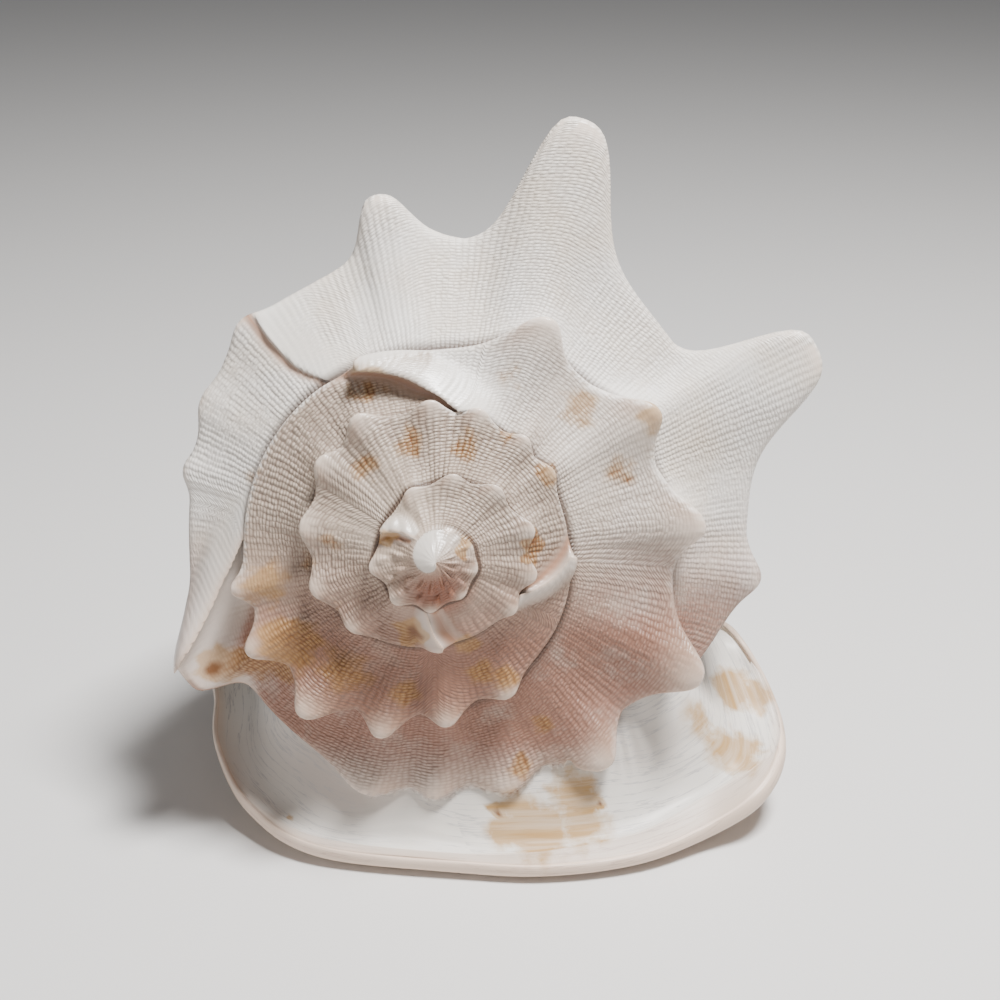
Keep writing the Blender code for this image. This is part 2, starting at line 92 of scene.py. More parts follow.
# %% Horns and knobs
# Growth angle, reach, lift towards the spire, half width in degrees on the older and on the newer side,
# and how steep each of those two flanks is
HORNS = [
    (98, 9.0, 3.0, 3.6, 3.6, 1.2, 1.2), (62.8, 43.0, 8.0, 5.4, 8.0, 2.6, 1.7),
    (19.2, 50.0, 9.0, 5.6, 7.2, 2.4, 1.5), (-10.5, 21.0, 4.0, 3.6, 5.6, 2.0, 1.6),
    (-42, 5.0, 2.0, 4.0, 3.0, 1.4, 1.4), (-60, 3.0, 1.0, 3.5, 4.0, 1.6, 1.6),
    (-75, 4.0, 1.0, 3.0, 3.0, 1.6, 1.6), (-120, 15.5, 7.0, 4.0, 10.0, 3.0, 1.5),
]
# Growth angle, reach, lift and half widths
KNOBS = [
    (-164, 8.0, 3.0, 7.0, 8.0), (-179, 6.0, 2.5, 5.0, 5.0), (-196, 6.5, 3.0, 6.0, 6.0),
    (-217, 12.0, 5.0, 5.5, 7.0), (-243, 18.5, 7.0, 6.5, 7.5), (-274, 12.5, 5.0, 7.5, 5.0),
    (-302, 11.5, 5.0, 6.5, 6.0), (-334, 16.5, 5.0, 8.5, 6.5), (-462, 6.5, 2.5, 4.0, 4.0),
    (-479, 9.5, 4.0, 5.5, 5.0), (-501, 11.0, 5.0, 7.0, 6.0), (-523, 9.0, 4.5, 6.0, 6.0),
    (-543, 6.5, 3.0, 6.0, 6.0), (-566, 5.0, 2.0, 6.0, 7.0), (-665, 3.5, 1.5, 6.0, 6.0),
    (-682, 4.0, 2.0, 5.0, 5.0), (-703, 4.5, 2.5, 6.0, 6.0), (-722, 4.5, 2.5, 6.0, 6.0),
    (-750, 6.5, 3.0, 7.0, 7.0), (-772, 5.0, 2.5, 7.0, 7.0), (-799, 4.0, 2.2, 8.0, 8.0),
    (-827, 4.5, 2.0, 8.0, 8.0), (-852, 2.5, 1.5, 7.0, 8.0), (-954, 3.0, 1.4, 8.0, 7.0),
    (-978, 4.5, 1.8, 8.0, 8.0), (-1006, 4.5, 2.0, 9.0, 9.0), (-1038, 3.8, 1.8, 9.0, 9.0),
    (-1068, 3.2, 1.5, 9.0, 9.0), (-1101, 2.6, 1.3, 9.0, 9.0), (-1180, 3.6, 1.6, 11.0, 11.0),
    (-1218, 3.4, 1.6, 11.0, 11.0), (-1255, 3.0, 1.4, 11.0, 11.0), (-1295, 2.6, 1.4, 12.0, 12.0),
    (-1335, 2.6, 1.3, 12.0, 12.0), (-1372, 2.0, 1.1, 12.0, 12.0), (-1414, 1.4, 0.8, 12.0, 12.0),
]
# The second table's knobs are all older than this
OUTLINE_ANGLE = -150.0
# How fast a horn and a knob tail off, how pointed a knob is, and how much stronger its pleat
HORN_TAIL, KNOB_TAIL = -0.75, -1.1
POINTED = 2.5
PLEAT_LIFT = 1.45
print(len(HORNS), "horns and", len(KNOBS), "knobs on", TURNS, "turns")

# %% [markdown]
# Every so often the animal rested and built a thick, flared lip, then grew on from behind it. Each old lip
# is still there as a crest: a smooth hollow rises to it on the older side, it curls over that hollow, and
# the newer side falls away gently into the net.

# %% Old lips
# Growth angle of the crest at the suture, at a third, at two thirds and at the shoulder; its height at the
# suture and at the shoulder; the angles that the hollow and the newer side take; and how far it curls over
OLD_LIPS = [
    ((-31, -37, -38.5, -38), 0.9, 1.6, 4.0, 12.0, 1.6),
    ((-78, -90, -99, -110), 3.0, 12.0, 24.0, 12.0, 7.0),
    ((-342, -356, -366, -380), 4.0, 8.0, 15.0, 20.0, 5.0),
    ((-597, -606, -614, -624), 2.5, 5.0, 17.0, 9.0, 5.0),
    ((-885, -889, -893, -899), 1.5, 4.5, 22.0, 9.0, 6.0),
    ((-1118, -1124, -1130, -1140), 1.6, 3.6, 26.0, 16.0, 8.0),
]
CREST_SHARES = (0.0, 0.33, 0.67, 1.0)
FOLD_FADE = 0.10
# The hollow's depth as a share of the crest's height, then places and spreads as shares of its width
HOLLOW_DIP, DIP_PLACE, DIP_SPREAD = 0.22, 0.62, 0.3
RIM_SPREAD = 0.07
# Place and spread of the pinkish painted shade in the hollow
PINK_SHADE_PLACE, PINK_SHADE_SPREAD = 0.55, 0.35
# Knobs fade out towards the tip, and towards the outer lip
YOUNG_ANGLE, YOUNG_FADE = -1430.0, 200.0
LIP_FADE = 25.0


def smooth(table, where, column=1):
    """A smooth curve through a table's points, read at the places asked for."""
    knots = np.array([row[0] for row in table], float)
    values = np.array([row[column] for row in table], float)
    slopes = np.gradient(values, knots)
    where = np.clip(np.asarray(where, float), knots[0], knots[-1])
    left = np.clip(np.searchsorted(knots, where, side="right") - 1, 0, len(knots) - 2)
    gap = knots[left + 1] - knots[left]
    share = (where - knots[left]) / gap
    return (
        values[left] * (2 * share**3 - 3 * share**2 + 1)
        + values[left + 1] * (3 * share**2 - 2 * share**3)
        + slopes[left] * gap * (share**3 - 2 * share**2 + share)
        + slopes[left + 1] * gap * (share**3 - share**2)
    )


def folds(angle, share):
    """Where the old lips move a place along the coil, how high they lift it, and its marks."""
    angle = angle + 0.0 * share
    turned, raised = angle.copy(), 0.0 * angle
    polish, rim, flush = 0.0 * angle, 0.0 * angle, 0.0 * angle
    for crests, low, high, hollow, newer, curl in OLD_LIPS:
        away = angle - smooth(list(zip(CREST_SHARES, crests)), share)
        strength = np.clip(share / FOLD_FADE, 0.0, 1.0)
        before = np.clip(-away / hollow, 0.0, 1.0)
        after = np.clip(away / newer, 0.0, 1.0)
        rising = np.where(away < 0.0, (1.0 - before) ** 2.4, (1.0 - after) ** 2 * (1.0 + 2.0 * after))
        dip = HOLLOW_DIP * np.exp(-(((away + DIP_PLACE * hollow) / (DIP_SPREAD * hollow)) ** 2))
        raised = raised + (low + (high - low) * share) * strength * (rising - dip)
        turned = turned - curl * strength * rising**3
        near = np.where(away < 0.0, 1.0 - before**5, (1.0 - after) ** 0.8)
        polish = np.maximum(polish, near * strength)
        rim = np.maximum(rim, np.exp(-((away / (RIM_SPREAD * hollow)) ** 2)) * strength)
        # Pinkish painted shade in the hollow before each crest
        inner = np.exp(-(((away + PINK_SHADE_PLACE * hollow) / (PINK_SHADE_SPREAD * hollow)) ** 2))
        flush = np.maximum(flush, inner * strength)
    return turned, raised, polish, rim, flush


def shoulder(angle):
    """Radius and depth of the shoulder between its knobs, then the knobs' reach and lift."""
    reach, lift = np.zeros_like(angle), np.zeros_like(angle)
    for centre, length, height, older, newer, *flanks in HORNS + KNOBS:
        is_older = angle < centre
        away = np.abs(angle - centre) / np.where(is_older, older, newer)
        if flanks:
            shape = (1.0 + away ** (2.0 * np.where(is_older, *flanks))) ** HORN_TAIL
        else:
            shape = (1.0 + away**POINTED) ** KNOB_TAIL
            height = height * PLEAT_LIFT
        reach = np.maximum(reach, length * shape)
        lift = np.maximum(lift, height * shape)
    closing = np.clip((LAST_ANGLE - angle) / LIP_FADE, 0.0, 1.0)
    closing = closing * np.clip((angle - YOUNG_ANGLE) / YOUNG_FADE, 0.0, 1.0)
    return smooth(SHOULDER, angle, 1), smooth(SHOULDER, angle, 2), reach * closing, lift * closing


print("old lips at", [row[0] for row in OLD_LIPS])

# %% [markdown]
# A ramp runs from the suture, just under the shoulder of the whorl before, out to its own shoulder. Each
# knob is the end of a pleat that fades towards the suture, and the knobs of the whorl before push the
# suture out, so it is scalloped. The shoulder's edge rolls over before it tucks under, into a crevice
# that is lined with a thin dark line of painted shade round every whorl.


# %% The coil's surface
RAMP_SAG = 0.05
CLIFF = 0.042
UNDERCUT = 0.022
# What is left of a knob's reach and lift at the suture, and how fast a pleat fades and grows
SUTURE_REACH, SUTURE_LIFT = 0.85, 0.75
PLEAT_FADE, PLEAT_GROW = 3, 2.1
ROLL_OUT = 0.42


def ramp(angle, share):
    """Growth angle, radius and depth of a place on a ramp, from its suture to its shoulder."""
    turned, raised, polish, rim, flush = folds(angle, share)
    in_radius, in_depth, in_reach, in_lift = shoulder(turned - 360.0)
    begun = np.where(angle < FIRST_ANGLE + 360.0, 0.0, 1.0)
    in_depth = (in_depth + in_radius * CLIFF) * begun
    in_radius = in_radius * (1.0 - UNDERCUT) * begun
    in_reach, in_lift = SUTURE_REACH * in_reach * begun, SUTURE_LIFT * in_lift * begun
    out_radius, out_depth, out_reach, out_lift = shoulder(turned)
    fade, grow = (1.0 - share) ** PLEAT_FADE, share**PLEAT_GROW
    radius = in_radius + (out_radius - in_radius) * share + in_reach * fade + out_reach * grow
    depth = in_depth + (out_depth - in_depth) * share - in_lift * fade - out_lift * grow
    depth = depth + RAMP_SAG * (out_radius - in_radius) * np.sin(math.pi * share) - raised
    return turned, radius, depth, polish, rim, flush


def rolled_edge(angle, share):
    """The rounded edge between the shoulder of the whorl before and the suture below it."""
    before = np.where(angle - 360.0 < FIRST_ANGLE, 0.0, 1.0)
    over_turned, over_radius, over_depth, *over_marks = ramp(angle - 360.0, 1.0 + 0.0 * share)
    under_turned, under_radius, under_depth, *_ = ramp(angle, 0.0 * share)
    drop = (under_depth - over_depth * before) * before
    turned = (over_turned + 360.0) * (1 - share) + under_turned * share
    radius = over_radius * before * (1 - share) + under_radius * share
    depth = over_depth * before * (1 - share) + under_depth * share
    return turned, radius + ROLL_OUT * drop * np.sin(math.pi * share**0.8), depth, *over_marks


def place_on_axis(turned, radius, depth):
    """x, y and z in millimetres from under the tip of the spire."""
    turn, fall = np.radians(turned), math.radians(AXIS_FALL)
    rise, right = radius * np.cos(turn), radius * np.sin(turn)
    y = depth * math.cos(fall) + rise * math.sin(fall)
    z = TIP_HEIGHT - depth * math.sin(fall) + rise * math.cos(fall)
    return np.stack([right, y, z], axis=-1)


print("the last shoulder is", round(float(smooth(SHOULDER, 60)), 1), "mm from the axis")

# %% [markdown]
# Blender's grid primitive is a flat sheet of squares. Each sheet of the shell starts as one, and every
# vertex is then carried to its place by the formulas above. The grid keeps a map in real millimetres,
# along the growth and across it, so that the fine net can follow the coil.


# %% Make a sheet from a grid
def deselect_all():
    if bpy.context.object and bpy.context.object.mode != "OBJECT":
        bpy.ops.object.mode_set(mode="OBJECT")
    bpy.ops.object.select_all(action="DESELECT")


def add_sheet(name, places, along, across, marks):
    """A grid whose vertices take the places given in millimetres, with its own map and marks."""
    columns, rows = places.shape[0] - 1, places.shape[1] - 1
    deselect_all()
    bpy.ops.mesh.primitive_grid_add(x_subdivisions=columns, y_subdivisions=rows, size=2.0)
    made = bpy.context.active_object
    made.name = name
    flat = np.empty(len(made.data.vertices) * 3)
    made.data.vertices.foreach_get("co", flat)
    flat = flat.reshape(-1, 3)
    column = np.rint((flat[:, 0] + 1.0) / 2.0 * columns).astype(int)
    row = np.rint((flat[:, 1] + 1.0) / 2.0 * rows).astype(int)
    made.data.vertices.foreach_set("co", (places[column, row] * MM).ravel())
    corner = np.empty(len(made.data.loops), int)
    made.data.loops.foreach_get("vertex_index", corner)
    mapped = np.stack([along, across], axis=-1)[column, row][corner]
    made.data.uv_layers[0].data.foreach_set("uv", mapped.ravel())
    for mark, values in marks.items():
        layer = made.data.attributes.new(mark, "FLOAT", "POINT")
        layer.data.foreach_set("value", np.broadcast_to(values, places.shape[:2])[column, row])
    made.data.update()
    print(name, "has", len(made.data.vertices), "vertices")
    return made


# %% [markdown]
# The whorls are one long strip: each column of the grid goes from under the shoulder of the turn before,
# over the rolled edge, and out along the ramp. The strip's two borders meet a turn apart, so the spire
# closes by itself once the doubles are merged.

# %% Wind the whorls
COLUMNS_A_TURN = 420
RAMP_ROWS = 20
EDGE_ROWS = 5
DOME_LIFT, DOME_RADIUS = 5.5, 8.5
ramp_columns = COLUMNS_A_TURN * TURNS
angles = (FIRST_ANGLE + 360.0 * TURNS * np.arange(ramp_columns + 1) / ramp_columns)[:, None]
edge_shares = np.arange(EDGE_ROWS)[None, :] / EDGE_ROWS
ramp_shares = np.arange(RAMP_ROWS + 1)[None, :] / RAMP_ROWS
edge_parts = rolled_edge(angles, edge_shares)
ramp_parts = ramp(angles, ramp_shares)
turned, radius, depth, polish, rim, flush = (
    np.concatenate([np.broadcast_to(edge, (ramp_columns + 1, EDGE_ROWS)), whole], axis=1)
    for edge, whole in zip(edge_parts, ramp_parts)
)
# The very tip stands out as a small dome
depth = depth - DOME_LIFT * np.exp(-((radius / DOME_RADIUS) ** 2))
whorl_places = place_on_axis(turned, radius, depth)
whorl_places[0] = whorl_places[0, 0]
whorl_places[COLUMNS_A_TURN, 0] = whorl_places[0, 0]
whorl_places[-1] = whorl_places[-1 - COLUMNS_A_TURN, -1]

steps = np.linalg.norm(np.diff(whorl_places, axis=1), axis=2)
across = np.concatenate([np.zeros((ramp_columns + 1, 1)), np.cumsum(steps, axis=1)], axis=1)
ramp_width = across[:, -1:]
column_step = math.radians(360.0 / COLUMNS_A_TURN) * radius[:, EDGE_ROWS + RAMP_ROWS // 2]
along = np.broadcast_to(np.cumsum(column_step)[:, None], across.shape)
share = np.concatenate([np.zeros(EDGE_ROWS), ramp_shares[0]])[None, :]
from_edge = np.concatenate([1.0 - edge_shares[0], np.zeros(RAMP_ROWS + 1)])[None, :]
strip_length, strip_width = round(float(along[-1, 0])), round(float(across.max()))
print("the coil's strip is", strip_length, "mm long and up to", strip_width, "mm wide")

# %% [markdown]
# Marks are numbers kept on each vertex. They are worked out here, where the place along the coil is
# known, and the material reads them later: polish and peach for bare edges, a mark for dark lines of
# painted shade, one for pinkish painted shade in hollows, shield for the enamel, and one for the older,
# beige whorls that on the foot also holds the callus tint and painted shade in the trough. Two marks move
# the surface once the sheets are joined: relief raises it, and rounding softens it.


# %% The marks
MARKS = ("polish", "peach", "crevice_shade", "shield", "flush", "relief", "rounding", "age_and_trough_shade")
PLAIN_MARKS = dict.fromkeys(MARKS, 0.0)


def bump_at(where, centre, half):
    """One at the centre, falling smoothly to nothing about a half width away."""
    return np.exp(-(((where - centre) / half) ** 2))


print("each vertex has", len(MARKS), "marks")

# %% [markdown]
# A shoulder's edge is worn bare and white only on its knobs. Between them it has the ramp's own colour.
# The rolled edge of the whorl before lies at the start of each column, so its knobs are those of one turn
# ago.

# %% Bare knobs and edges
EDGE_REACH, EDGE_HALF = 1.6, 0.05
BARE_HALF, BETWEEN_KNOBS = 0.375, 0.15
BARE_TIP, BARE_TIP_HALF = 0.9, 0.16
older_whorls = angles < OUTLINE_ANGLE
on_knob = np.zeros_like(angles)
for centre, _, _, older, newer, *_ in HORNS + KNOBS:
    on_knob = np.maximum(on_knob, bump_at(angles, centre, BARE_HALF * (older + newer)))
outer_knob = np.concatenate([on_knob[:COLUMNS_A_TURN], on_knob[:-COLUMNS_A_TURN]])
knob_share = np.where(from_edge > 0.0, outer_knob, on_knob)
edge_band = np.clip(from_edge * EDGE_REACH, 0.0, 1.0) + bump_at(share, 1.0, EDGE_HALF)
edge_band = np.clip(edge_band, 0.0, 1.0) * (BETWEEN_KNOBS + (1.0 - BETWEEN_KNOBS) * knob_share)
bare_tips = BARE_TIP * on_knob * bump_at(share, 1.0, BARE_TIP_HALF) * older_whorls
edge_band = np.maximum(edge_band, bare_tips)
print("bare edges cover", round(100.0 * float((edge_band > 0.5).mean()), 1), "percent of the strip")

# %% [markdown]
# Where a ramp tucks under the shoulder before it, a dark line of painted shade is drawn all round the
# spire. Pinkish painted shade lies in two places: on the older side of each knob, and in the hollow
# behind each old lip. The biggest lip stands out like an ear, and its inside is mostly cream instead.

# %% Painted shade: dark lines and pink hollows
CREVICE_SHADE_HALF, OLD_CREVICE_SHADE_HALF, CREVICE_SHADE_EDGE = 0.15, 0.11, 0.45
LINE_ANGLE, LINE_FADE = -1130.0, 150.0
EAR_MIDDLE, EAR_SPREAD, EAR_CREAM = -112.0, 34.0, 0.75
# The older side of a knob, in shares of its half width, then in shares of the ramp
SIDE_PLACE, SIDE_SPREAD = 0.6, 0.5
FLANK_PLACE, FLANK_SPREAD, FLANK_PINK_SHADE = 0.95, 0.14, 0.4
last_turn = angles > LAST_ANGLE - 360.0
# Painted shade: a dark line where each ramp tucks under the shoulder before it
crevice_shade = bump_at(share, 0.0, np.where(last_turn, CREVICE_SHADE_HALF, OLD_CREVICE_SHADE_HALF))
crevice_shade = crevice_shade * (from_edge < CREVICE_SHADE_EDGE) * np.clip((angles - LINE_ANGLE) / LINE_FADE, 0.0, 1.0)
# Pinkish painted shade on the older side of each knob, and less of it inside the ear
older_side = np.zeros_like(flush)
for centre, _, _, older, *_ in HORNS + KNOBS:
    beside = bump_at(angles, centre - SIDE_PLACE * older, SIDE_SPREAD * older)
    older_side = np.maximum(older_side, beside * bump_at(share, FLANK_PLACE, FLANK_SPREAD))
flush = flush * (1.0 - EAR_CREAM * bump_at(angles, EAR_MIDDLE, EAR_SPREAD))
flush = np.maximum(flush, FLANK_PINK_SHADE * older_side * older_whorls)
print("pink covers", round(100.0 * float((flush > 0.3).mean()), 1), "percent of the strip")

# %% [markdown]
# Low spiral ridges run round every ramp, and two rows of small beads crowd round the plain dome at the
# tip. They are real relief in the mesh, because they catch the light from the side. The finer net comes
# later, in the material: as geometry it would take millions of faces.

# %% Ridges, beads and the plain dome
BEAD_ANGLE, BEAD_SPREAD, BEAD_STEP, BEAD_HEIGHT = -1240.0, 130.0, 22.0, 1.3
# Place on the ramp, half width, and how far each row is shifted round
BEAD_ROWS = ((0.42, 0.14, 0.0), (0.8, 0.12, 2.0))
PLAIN_ANGLE, PLAIN_FADE = -1330.0, 120.0
RIDGE_PITCH, RIDGE_HEIGHT = 5.2, 0.10
RIDGE_SWAY, SWAY_LENGTH = 2.0, 17.0
crowded = np.zeros_like(flush)
for middle, half, shift in BEAD_ROWS:
    crowded += np.maximum(np.cos(math.tau * angles / BEAD_STEP + shift), 0.0) * bump_at(share, middle, half)
crowded = BEAD_HEIGHT * crowded * bump_at(angles, BEAD_ANGLE, BEAD_SPREAD)
polish = np.maximum(polish, np.clip((PLAIN_ANGLE - angles) / PLAIN_FADE, 0.0, 1.0))
bare = (1.0 - np.maximum(polish, edge_band)) * np.sin(math.pi * np.clip(share, 0.0, 1.0)) ** 0.5
swaying = RIDGE_SWAY * np.sin(along / SWAY_LENGTH)
ridges = RIDGE_HEIGHT * np.sin(math.tau * along / RIDGE_PITCH + swaying) * bare
print("the beads stand", round(float(crowded.max()), 2), "mm high and the ridges", RIDGE_HEIGHT, "mm")

# %% [markdown]
# The whorls older than the big flap are beige, those up to the ear are paler, and what grew after it is
# white. One mark holds this age, from one for the oldest to nothing. On the foot the same mark holds the
# callus tint and a painted shade in the trough.

# %% Age, and the whorls as one sheet
OLD_FROM, WHITE_FROM, AGE_FADE = -361.0, -115.0, 28.0
MIDDLE_AGE, AGE_SHIFT = 0.6, 0.4
ROUNDING, SHOULDER_SHARE = 0.05, 0.35
PEACH_EDGE = 0.75
younger = MIDDLE_AGE * np.clip((WHITE_FROM - angles) / AGE_FADE, 0.0, 1.0)
younger = younger * np.clip((angles - OLD_FROM) / AGE_FADE - AGE_SHIFT, 0.0, 1.0)
whorl_marks = {
    **PLAIN_MARKS,
    "polish": np.maximum(polish, edge_band),
    "peach": np.clip(edge_band * PEACH_EDGE + rim, 0.0, 1.0),
    "crevice_shade": crevice_shade,
    "flush": flush,
    "relief": ridges + crowded,
    "rounding": SHOULDER_SHARE * bump_at(share, 1.0, ROUNDING) * last_turn,
    "age_and_trough_shade": np.where(angles < OLD_FROM, 1.0, younger),
}
whorls = add_sheet("whorls", whorl_places, along, across, whorl_marks)

# %% [markdown]
# Below the last shoulder the body narrows to the front end, with two more rows of low knobs, and bends
# down into a short spout. The big horns thicken backwards over a few millimetres so that they are full
# cones and not fins.

# %% The body's side
# Distance from the shoulder along the axis, and radius as a share of the shoulder's
SIDE = [
    (0, 1.0), (10, 0.995), (25, 0.95), (50, 0.86), (80, 0.745), (110, 0.62), (140, 0.49),
    (170, 0.36), (195, 0.25), (214, 0.18),
]
SIDE_ROWS = 48
SIDE_CROWDING = 1.35
BODY_LENGTH, BODY_DROP, LOWEST_BODY = 214.0, 27.0, 8.0
SPOUT_START, SPOUT_RISE = 165.0, 24.0
HORN_BACK = 13.0
# How far down the side an old lip, its bulge and its crest fade, and how the shoulder is rounded there
FOLD_DOWN, BULGE_DOWN, CREST_DOWN = 26.0, 5.0, 8.0
BULGE_SHARE = 0.5
SIDE_ROUNDING = 3.5
# Lower rows of knobs: distance from the shoulder, reach, how far each spreads, and their angles
LOWER_KNOBS = [
    (40, 5.0, 8.0, (-92, -66, -40, -15, 10, 36, 62, 88)),
    (76, 4.5, 7.0, (-80, -54, -28, -3, 22, 48, 74, 98)),
]
LOWER_KNOB_WIDTH = 7.0


def body_place(turned, radius, depth, down):
    """A place on or in the body, whose narrow end bends down and then up into the spout."""
    made = place_on_axis(turned, radius, depth)
    turned_up = np.clip((down - SPOUT_START) / (BODY_LENGTH - SPOUT_START), 0.0, 1.0)
    made[..., 2] += SPOUT_RISE * turned_up**2 - BODY_DROP * (down / BODY_LENGTH) ** 1.5
    return made


def side(angle, down):
    """The body's side, at a distance down the axis from the last shoulder."""
    turned, raised, polish, rim, flush = folds(angle, 1.0 + 0.0 * down)
    fading = np.exp(-((down / FOLD_DOWN) ** 2))
    turned = angle + (turned - angle) * fading
    radius, depth, reach, lift = shoulder(turned)
    near = 1.0 / (1.0 + (down / HORN_BACK) ** 3)
    bulge = BULGE_SHARE * raised * fading * (1.0 - np.exp(-down / BULGE_DOWN))
    wide = radius * smooth(SIDE, down) + reach * near + bulge
    for row, length, spread, places in LOWER_KNOBS:
        for place in places:
            away = ((turned - place) / LOWER_KNOB_WIDTH) ** 2 + ((down - row) / spread) ** 2
            wide = wide + length * np.exp(-away)
    made = body_place(turned, wide, depth - lift * near + down - raised * np.exp(-down / CREST_DOWN), down)
    made[..., 2] = np.maximum(made[..., 2], LOWEST_BODY)
    return made, wide, polish * fading, rim * fading, flush * fading


ring_angles = angles[-1 - COLUMNS_A_TURN:]
downs = (BODY_LENGTH * (np.arange(SIDE_ROWS + 1) / SIDE_ROWS) ** SIDE_CROWDING)[None, :]
side_places, side_radius, side_polish, side_rim, side_flush = side(ring_angles, downs)
side_places[-1] = side_places[0]
side_along = np.broadcast_to(along[-1 - COLUMNS_A_TURN:, :1], side_radius.shape)
side_across = ramp_width[-1 - COLUMNS_A_TURN:] + downs
side_ridges = RIDGE_HEIGHT * np.sin(math.tau * side_along / RIDGE_PITCH)
side_marks = {
    **PLAIN_MARKS,
    "polish": side_polish,
    "peach": side_rim,
    "flush": side_flush,
    "relief": side_ridges * np.clip(downs / CREST_DOWN, 0.0, 1.0),
    "rounding": SHOULDER_SHARE * bump_at(downs, 0.0, SIDE_ROUNDING),
}
body_side = add_sheet("side", side_places, side_along, side_across, side_marks)

# %% [markdown]
# The spout ends in a small blind hollow. A flat cap would close the skin as well, but it would look sawn
# off, so one more short sheet draws the last ring in to a point a little way inside.

# %% Close the narrow end
SPOUT_HOLLOW, SPOUT_STEPS = 14.0, 5
SPOUT_WIDTH = 10.0
spout_end = side_places[:, -1].mean(axis=0) - np.array([0.0, SPOUT_HOLLOW, 0.0])
spout_rows = np.linspace(0.0, 1.0, SPOUT_STEPS)[None, :, None]
spout_places = side_places[:, -1:] * (1.0 - spout_rows) + spout_end * spout_rows
# Painted shade darkens the spout's hollow inwards
spout_marks = {**PLAIN_MARKS, "polish": 0.6, "peach": 0.3, "crevice_shade": spout_rows[..., 0]}
spout_across = side_across[:, -1:] + SPOUT_WIDTH * spout_rows[..., 0]
spout = add_sheet("spout", spout_places, side_along[:, :SPOUT_STEPS], spout_across, spout_marks)
print("the spout's hollow ends at", (spout_end * MM).round(3))

# %% [markdown]
# The foot is the shield and the outer lip: a plate of enamel that flares from the body to a thick rim,
# turns under it, and rests on the floor on a ring. It is a sheet too, wound once round, whose rows run
# from inside the body to the rim and back underneath to the mouth.

# %% The foot
# Where it leaves the body, its rim, the height of the trough between them, the rim's thickness, and the
# share of the way from the rim to the foot's middle at which it rests
FOOT = [
    ((3, 11, 28), (14, -6, 5), 11, 5.0, 0.16), ((43, 13, 38), (43, -7, 5), 14, 5.0, 0.16),
    ((60, 15, 42), (73, -1, 6), 17, 5.0, 0.17), ((71, 21, 58), (98, 11, 9), 24, 6.0, 0.20),
    ((86, 29, 62), (117, 19, 17), 32, 7.5, 0.27), ((90, 36, 60), (127, 33, 23), 33, 8.5, 0.32),
    ((92, 52, 60), (129, 48, 29), 36, 9.0, 0.36), ((94, 64, 66), (124, 60, 41), 46, 9.0, 0.40),
    ((95, 74, 70), (115, 72, 53), 57, 9.0, 0.40), ((90, 96, 62), (110, 96, 48), 50, 9.0, 0.38),
    ((80, 135, 50), (102, 136, 32), 38, 9.0, 0.34), ((58, 175, 42), (78, 182, 22), 29, 8.0, 0.28),
    ((32, 212, 34), (44, 222, 16), 22, 7.5, 0.24), ((6, 232, 30), (8, 243, 15), 20, 7.0, 0.22),
    ((-22, 205, 32), (-34, 216, 16), 21, 6.0, 0.22), ((-46, 155, 38), (-70, 165, 18), 20, 5.5, 0.24),
    ((-62, 105, 40), (-94, 114, 20), 20, 5.0, 0.25), ((-62, 70, 44), (-92, 80, 21), 21, 5.0, 0.25),
    ((-56, 42, 42), (-87, 50, 20), 19, 5.0, 0.24), ((-42, 22, 34), (-72, 22, 12), 15, 5.0, 0.20),
    ((-22, 13, 30), (-44, 3, 6), 12, 5.0, 0.17),
]
FOOT_COLUMNS = 320
FOOT_MIDDLE = (18.0, 115.0)
FOOT_CEILING = 60.0
FOOT_FLOOR = 20.0
# Share of the way from the body to the rim, and share of the trough's depth reached there
FOOT_FLARE = [(-0.35, -0.3), (0.0, 0.0), (0.25, 0.55), (0.5, 0.92), (0.75, 1.05), (0.93, 1.0)]
FLARE_ROWS = 24
# The rim's round section: inset and height, as shares of its thickness
RIM_SECTION = [
    (0.45, 0.46), (0.25, 0.54), (0.1, 0.48), (0.02, 0.32), (0.0, 0.1), (0.03, -0.15), (0.12, -0.36),
    (0.3, -0.5),
]
# The underside: distance, as a share of the way to the middle, from where it rests, and its height
UNDERSIDE = [(-0.05, -0.8), (0.0, -0.8), (0.05, -0.8), (0.10, 3.5), (0.16, 9.0), (0.24, 14.0), (0.32, 18.0)]


def around(values, count):
    """A closed smooth curve through the values, read at evenly spaced places, the first one last too."""
    values = np.array(values, float)
    place = np.arange(count + 1) * len(values) / count
    left = np.floor(place).astype(int)
    share = (place - left).reshape([-1] + [1] * (values.ndim - 1))
    a, b, c, d = (values[(left + shift) % len(values)] for shift in (-1, 0, 1, 2))
    return 0.5 * (
        2 * b + (c - a) * share + (2 * a - 5 * b + 4 * c - d) * share**2 + (3 * b - a - 3 * c + d) * share**3
    )


collar, foot_rim, trough, thick, resting = (around(values, FOOT_COLUMNS) for values in zip(*FOOT))
foot_middle = np.array(FOOT_MIDDLE)
outwards = foot_rim[:, :2] - collar[:, :2]
outwards = outwards / np.linalg.norm(outwards, axis=1, keepdims=True)
foot_rows = [np.tile((*FOOT_MIDDLE, FOOT_CEILING), (FOOT_COLUMNS + 1, 1))]
for out in np.linspace(FOOT_FLARE[0][0], FOOT_FLARE[-1][0], FLARE_ROWS):
    dip = float(smooth(FOOT_FLARE, out))
    flat_place = collar[:, :2] + (foot_rim[:, :2] - collar[:, :2]) * out
    foot_rows.append(np.column_stack([flat_place, collar[:, 2] + (trough - collar[:, 2]) * dip]))
for inset, height in RIM_SECTION:
    flat_place = foot_rim[:, :2] - outwards * (inset * thick)[:, None]
    foot_rows.append(np.column_stack([flat_place, foot_rim[:, 2] + height * thick]))
for beyond, height in UNDERSIDE:
    flat_place = foot_rim[:, :2] + (foot_middle - foot_rim[:, :2]) * (resting + beyond)[:, None]
    foot_rows.append(np.column_stack([flat_place, np.full(FOOT_COLUMNS + 1, height)]))
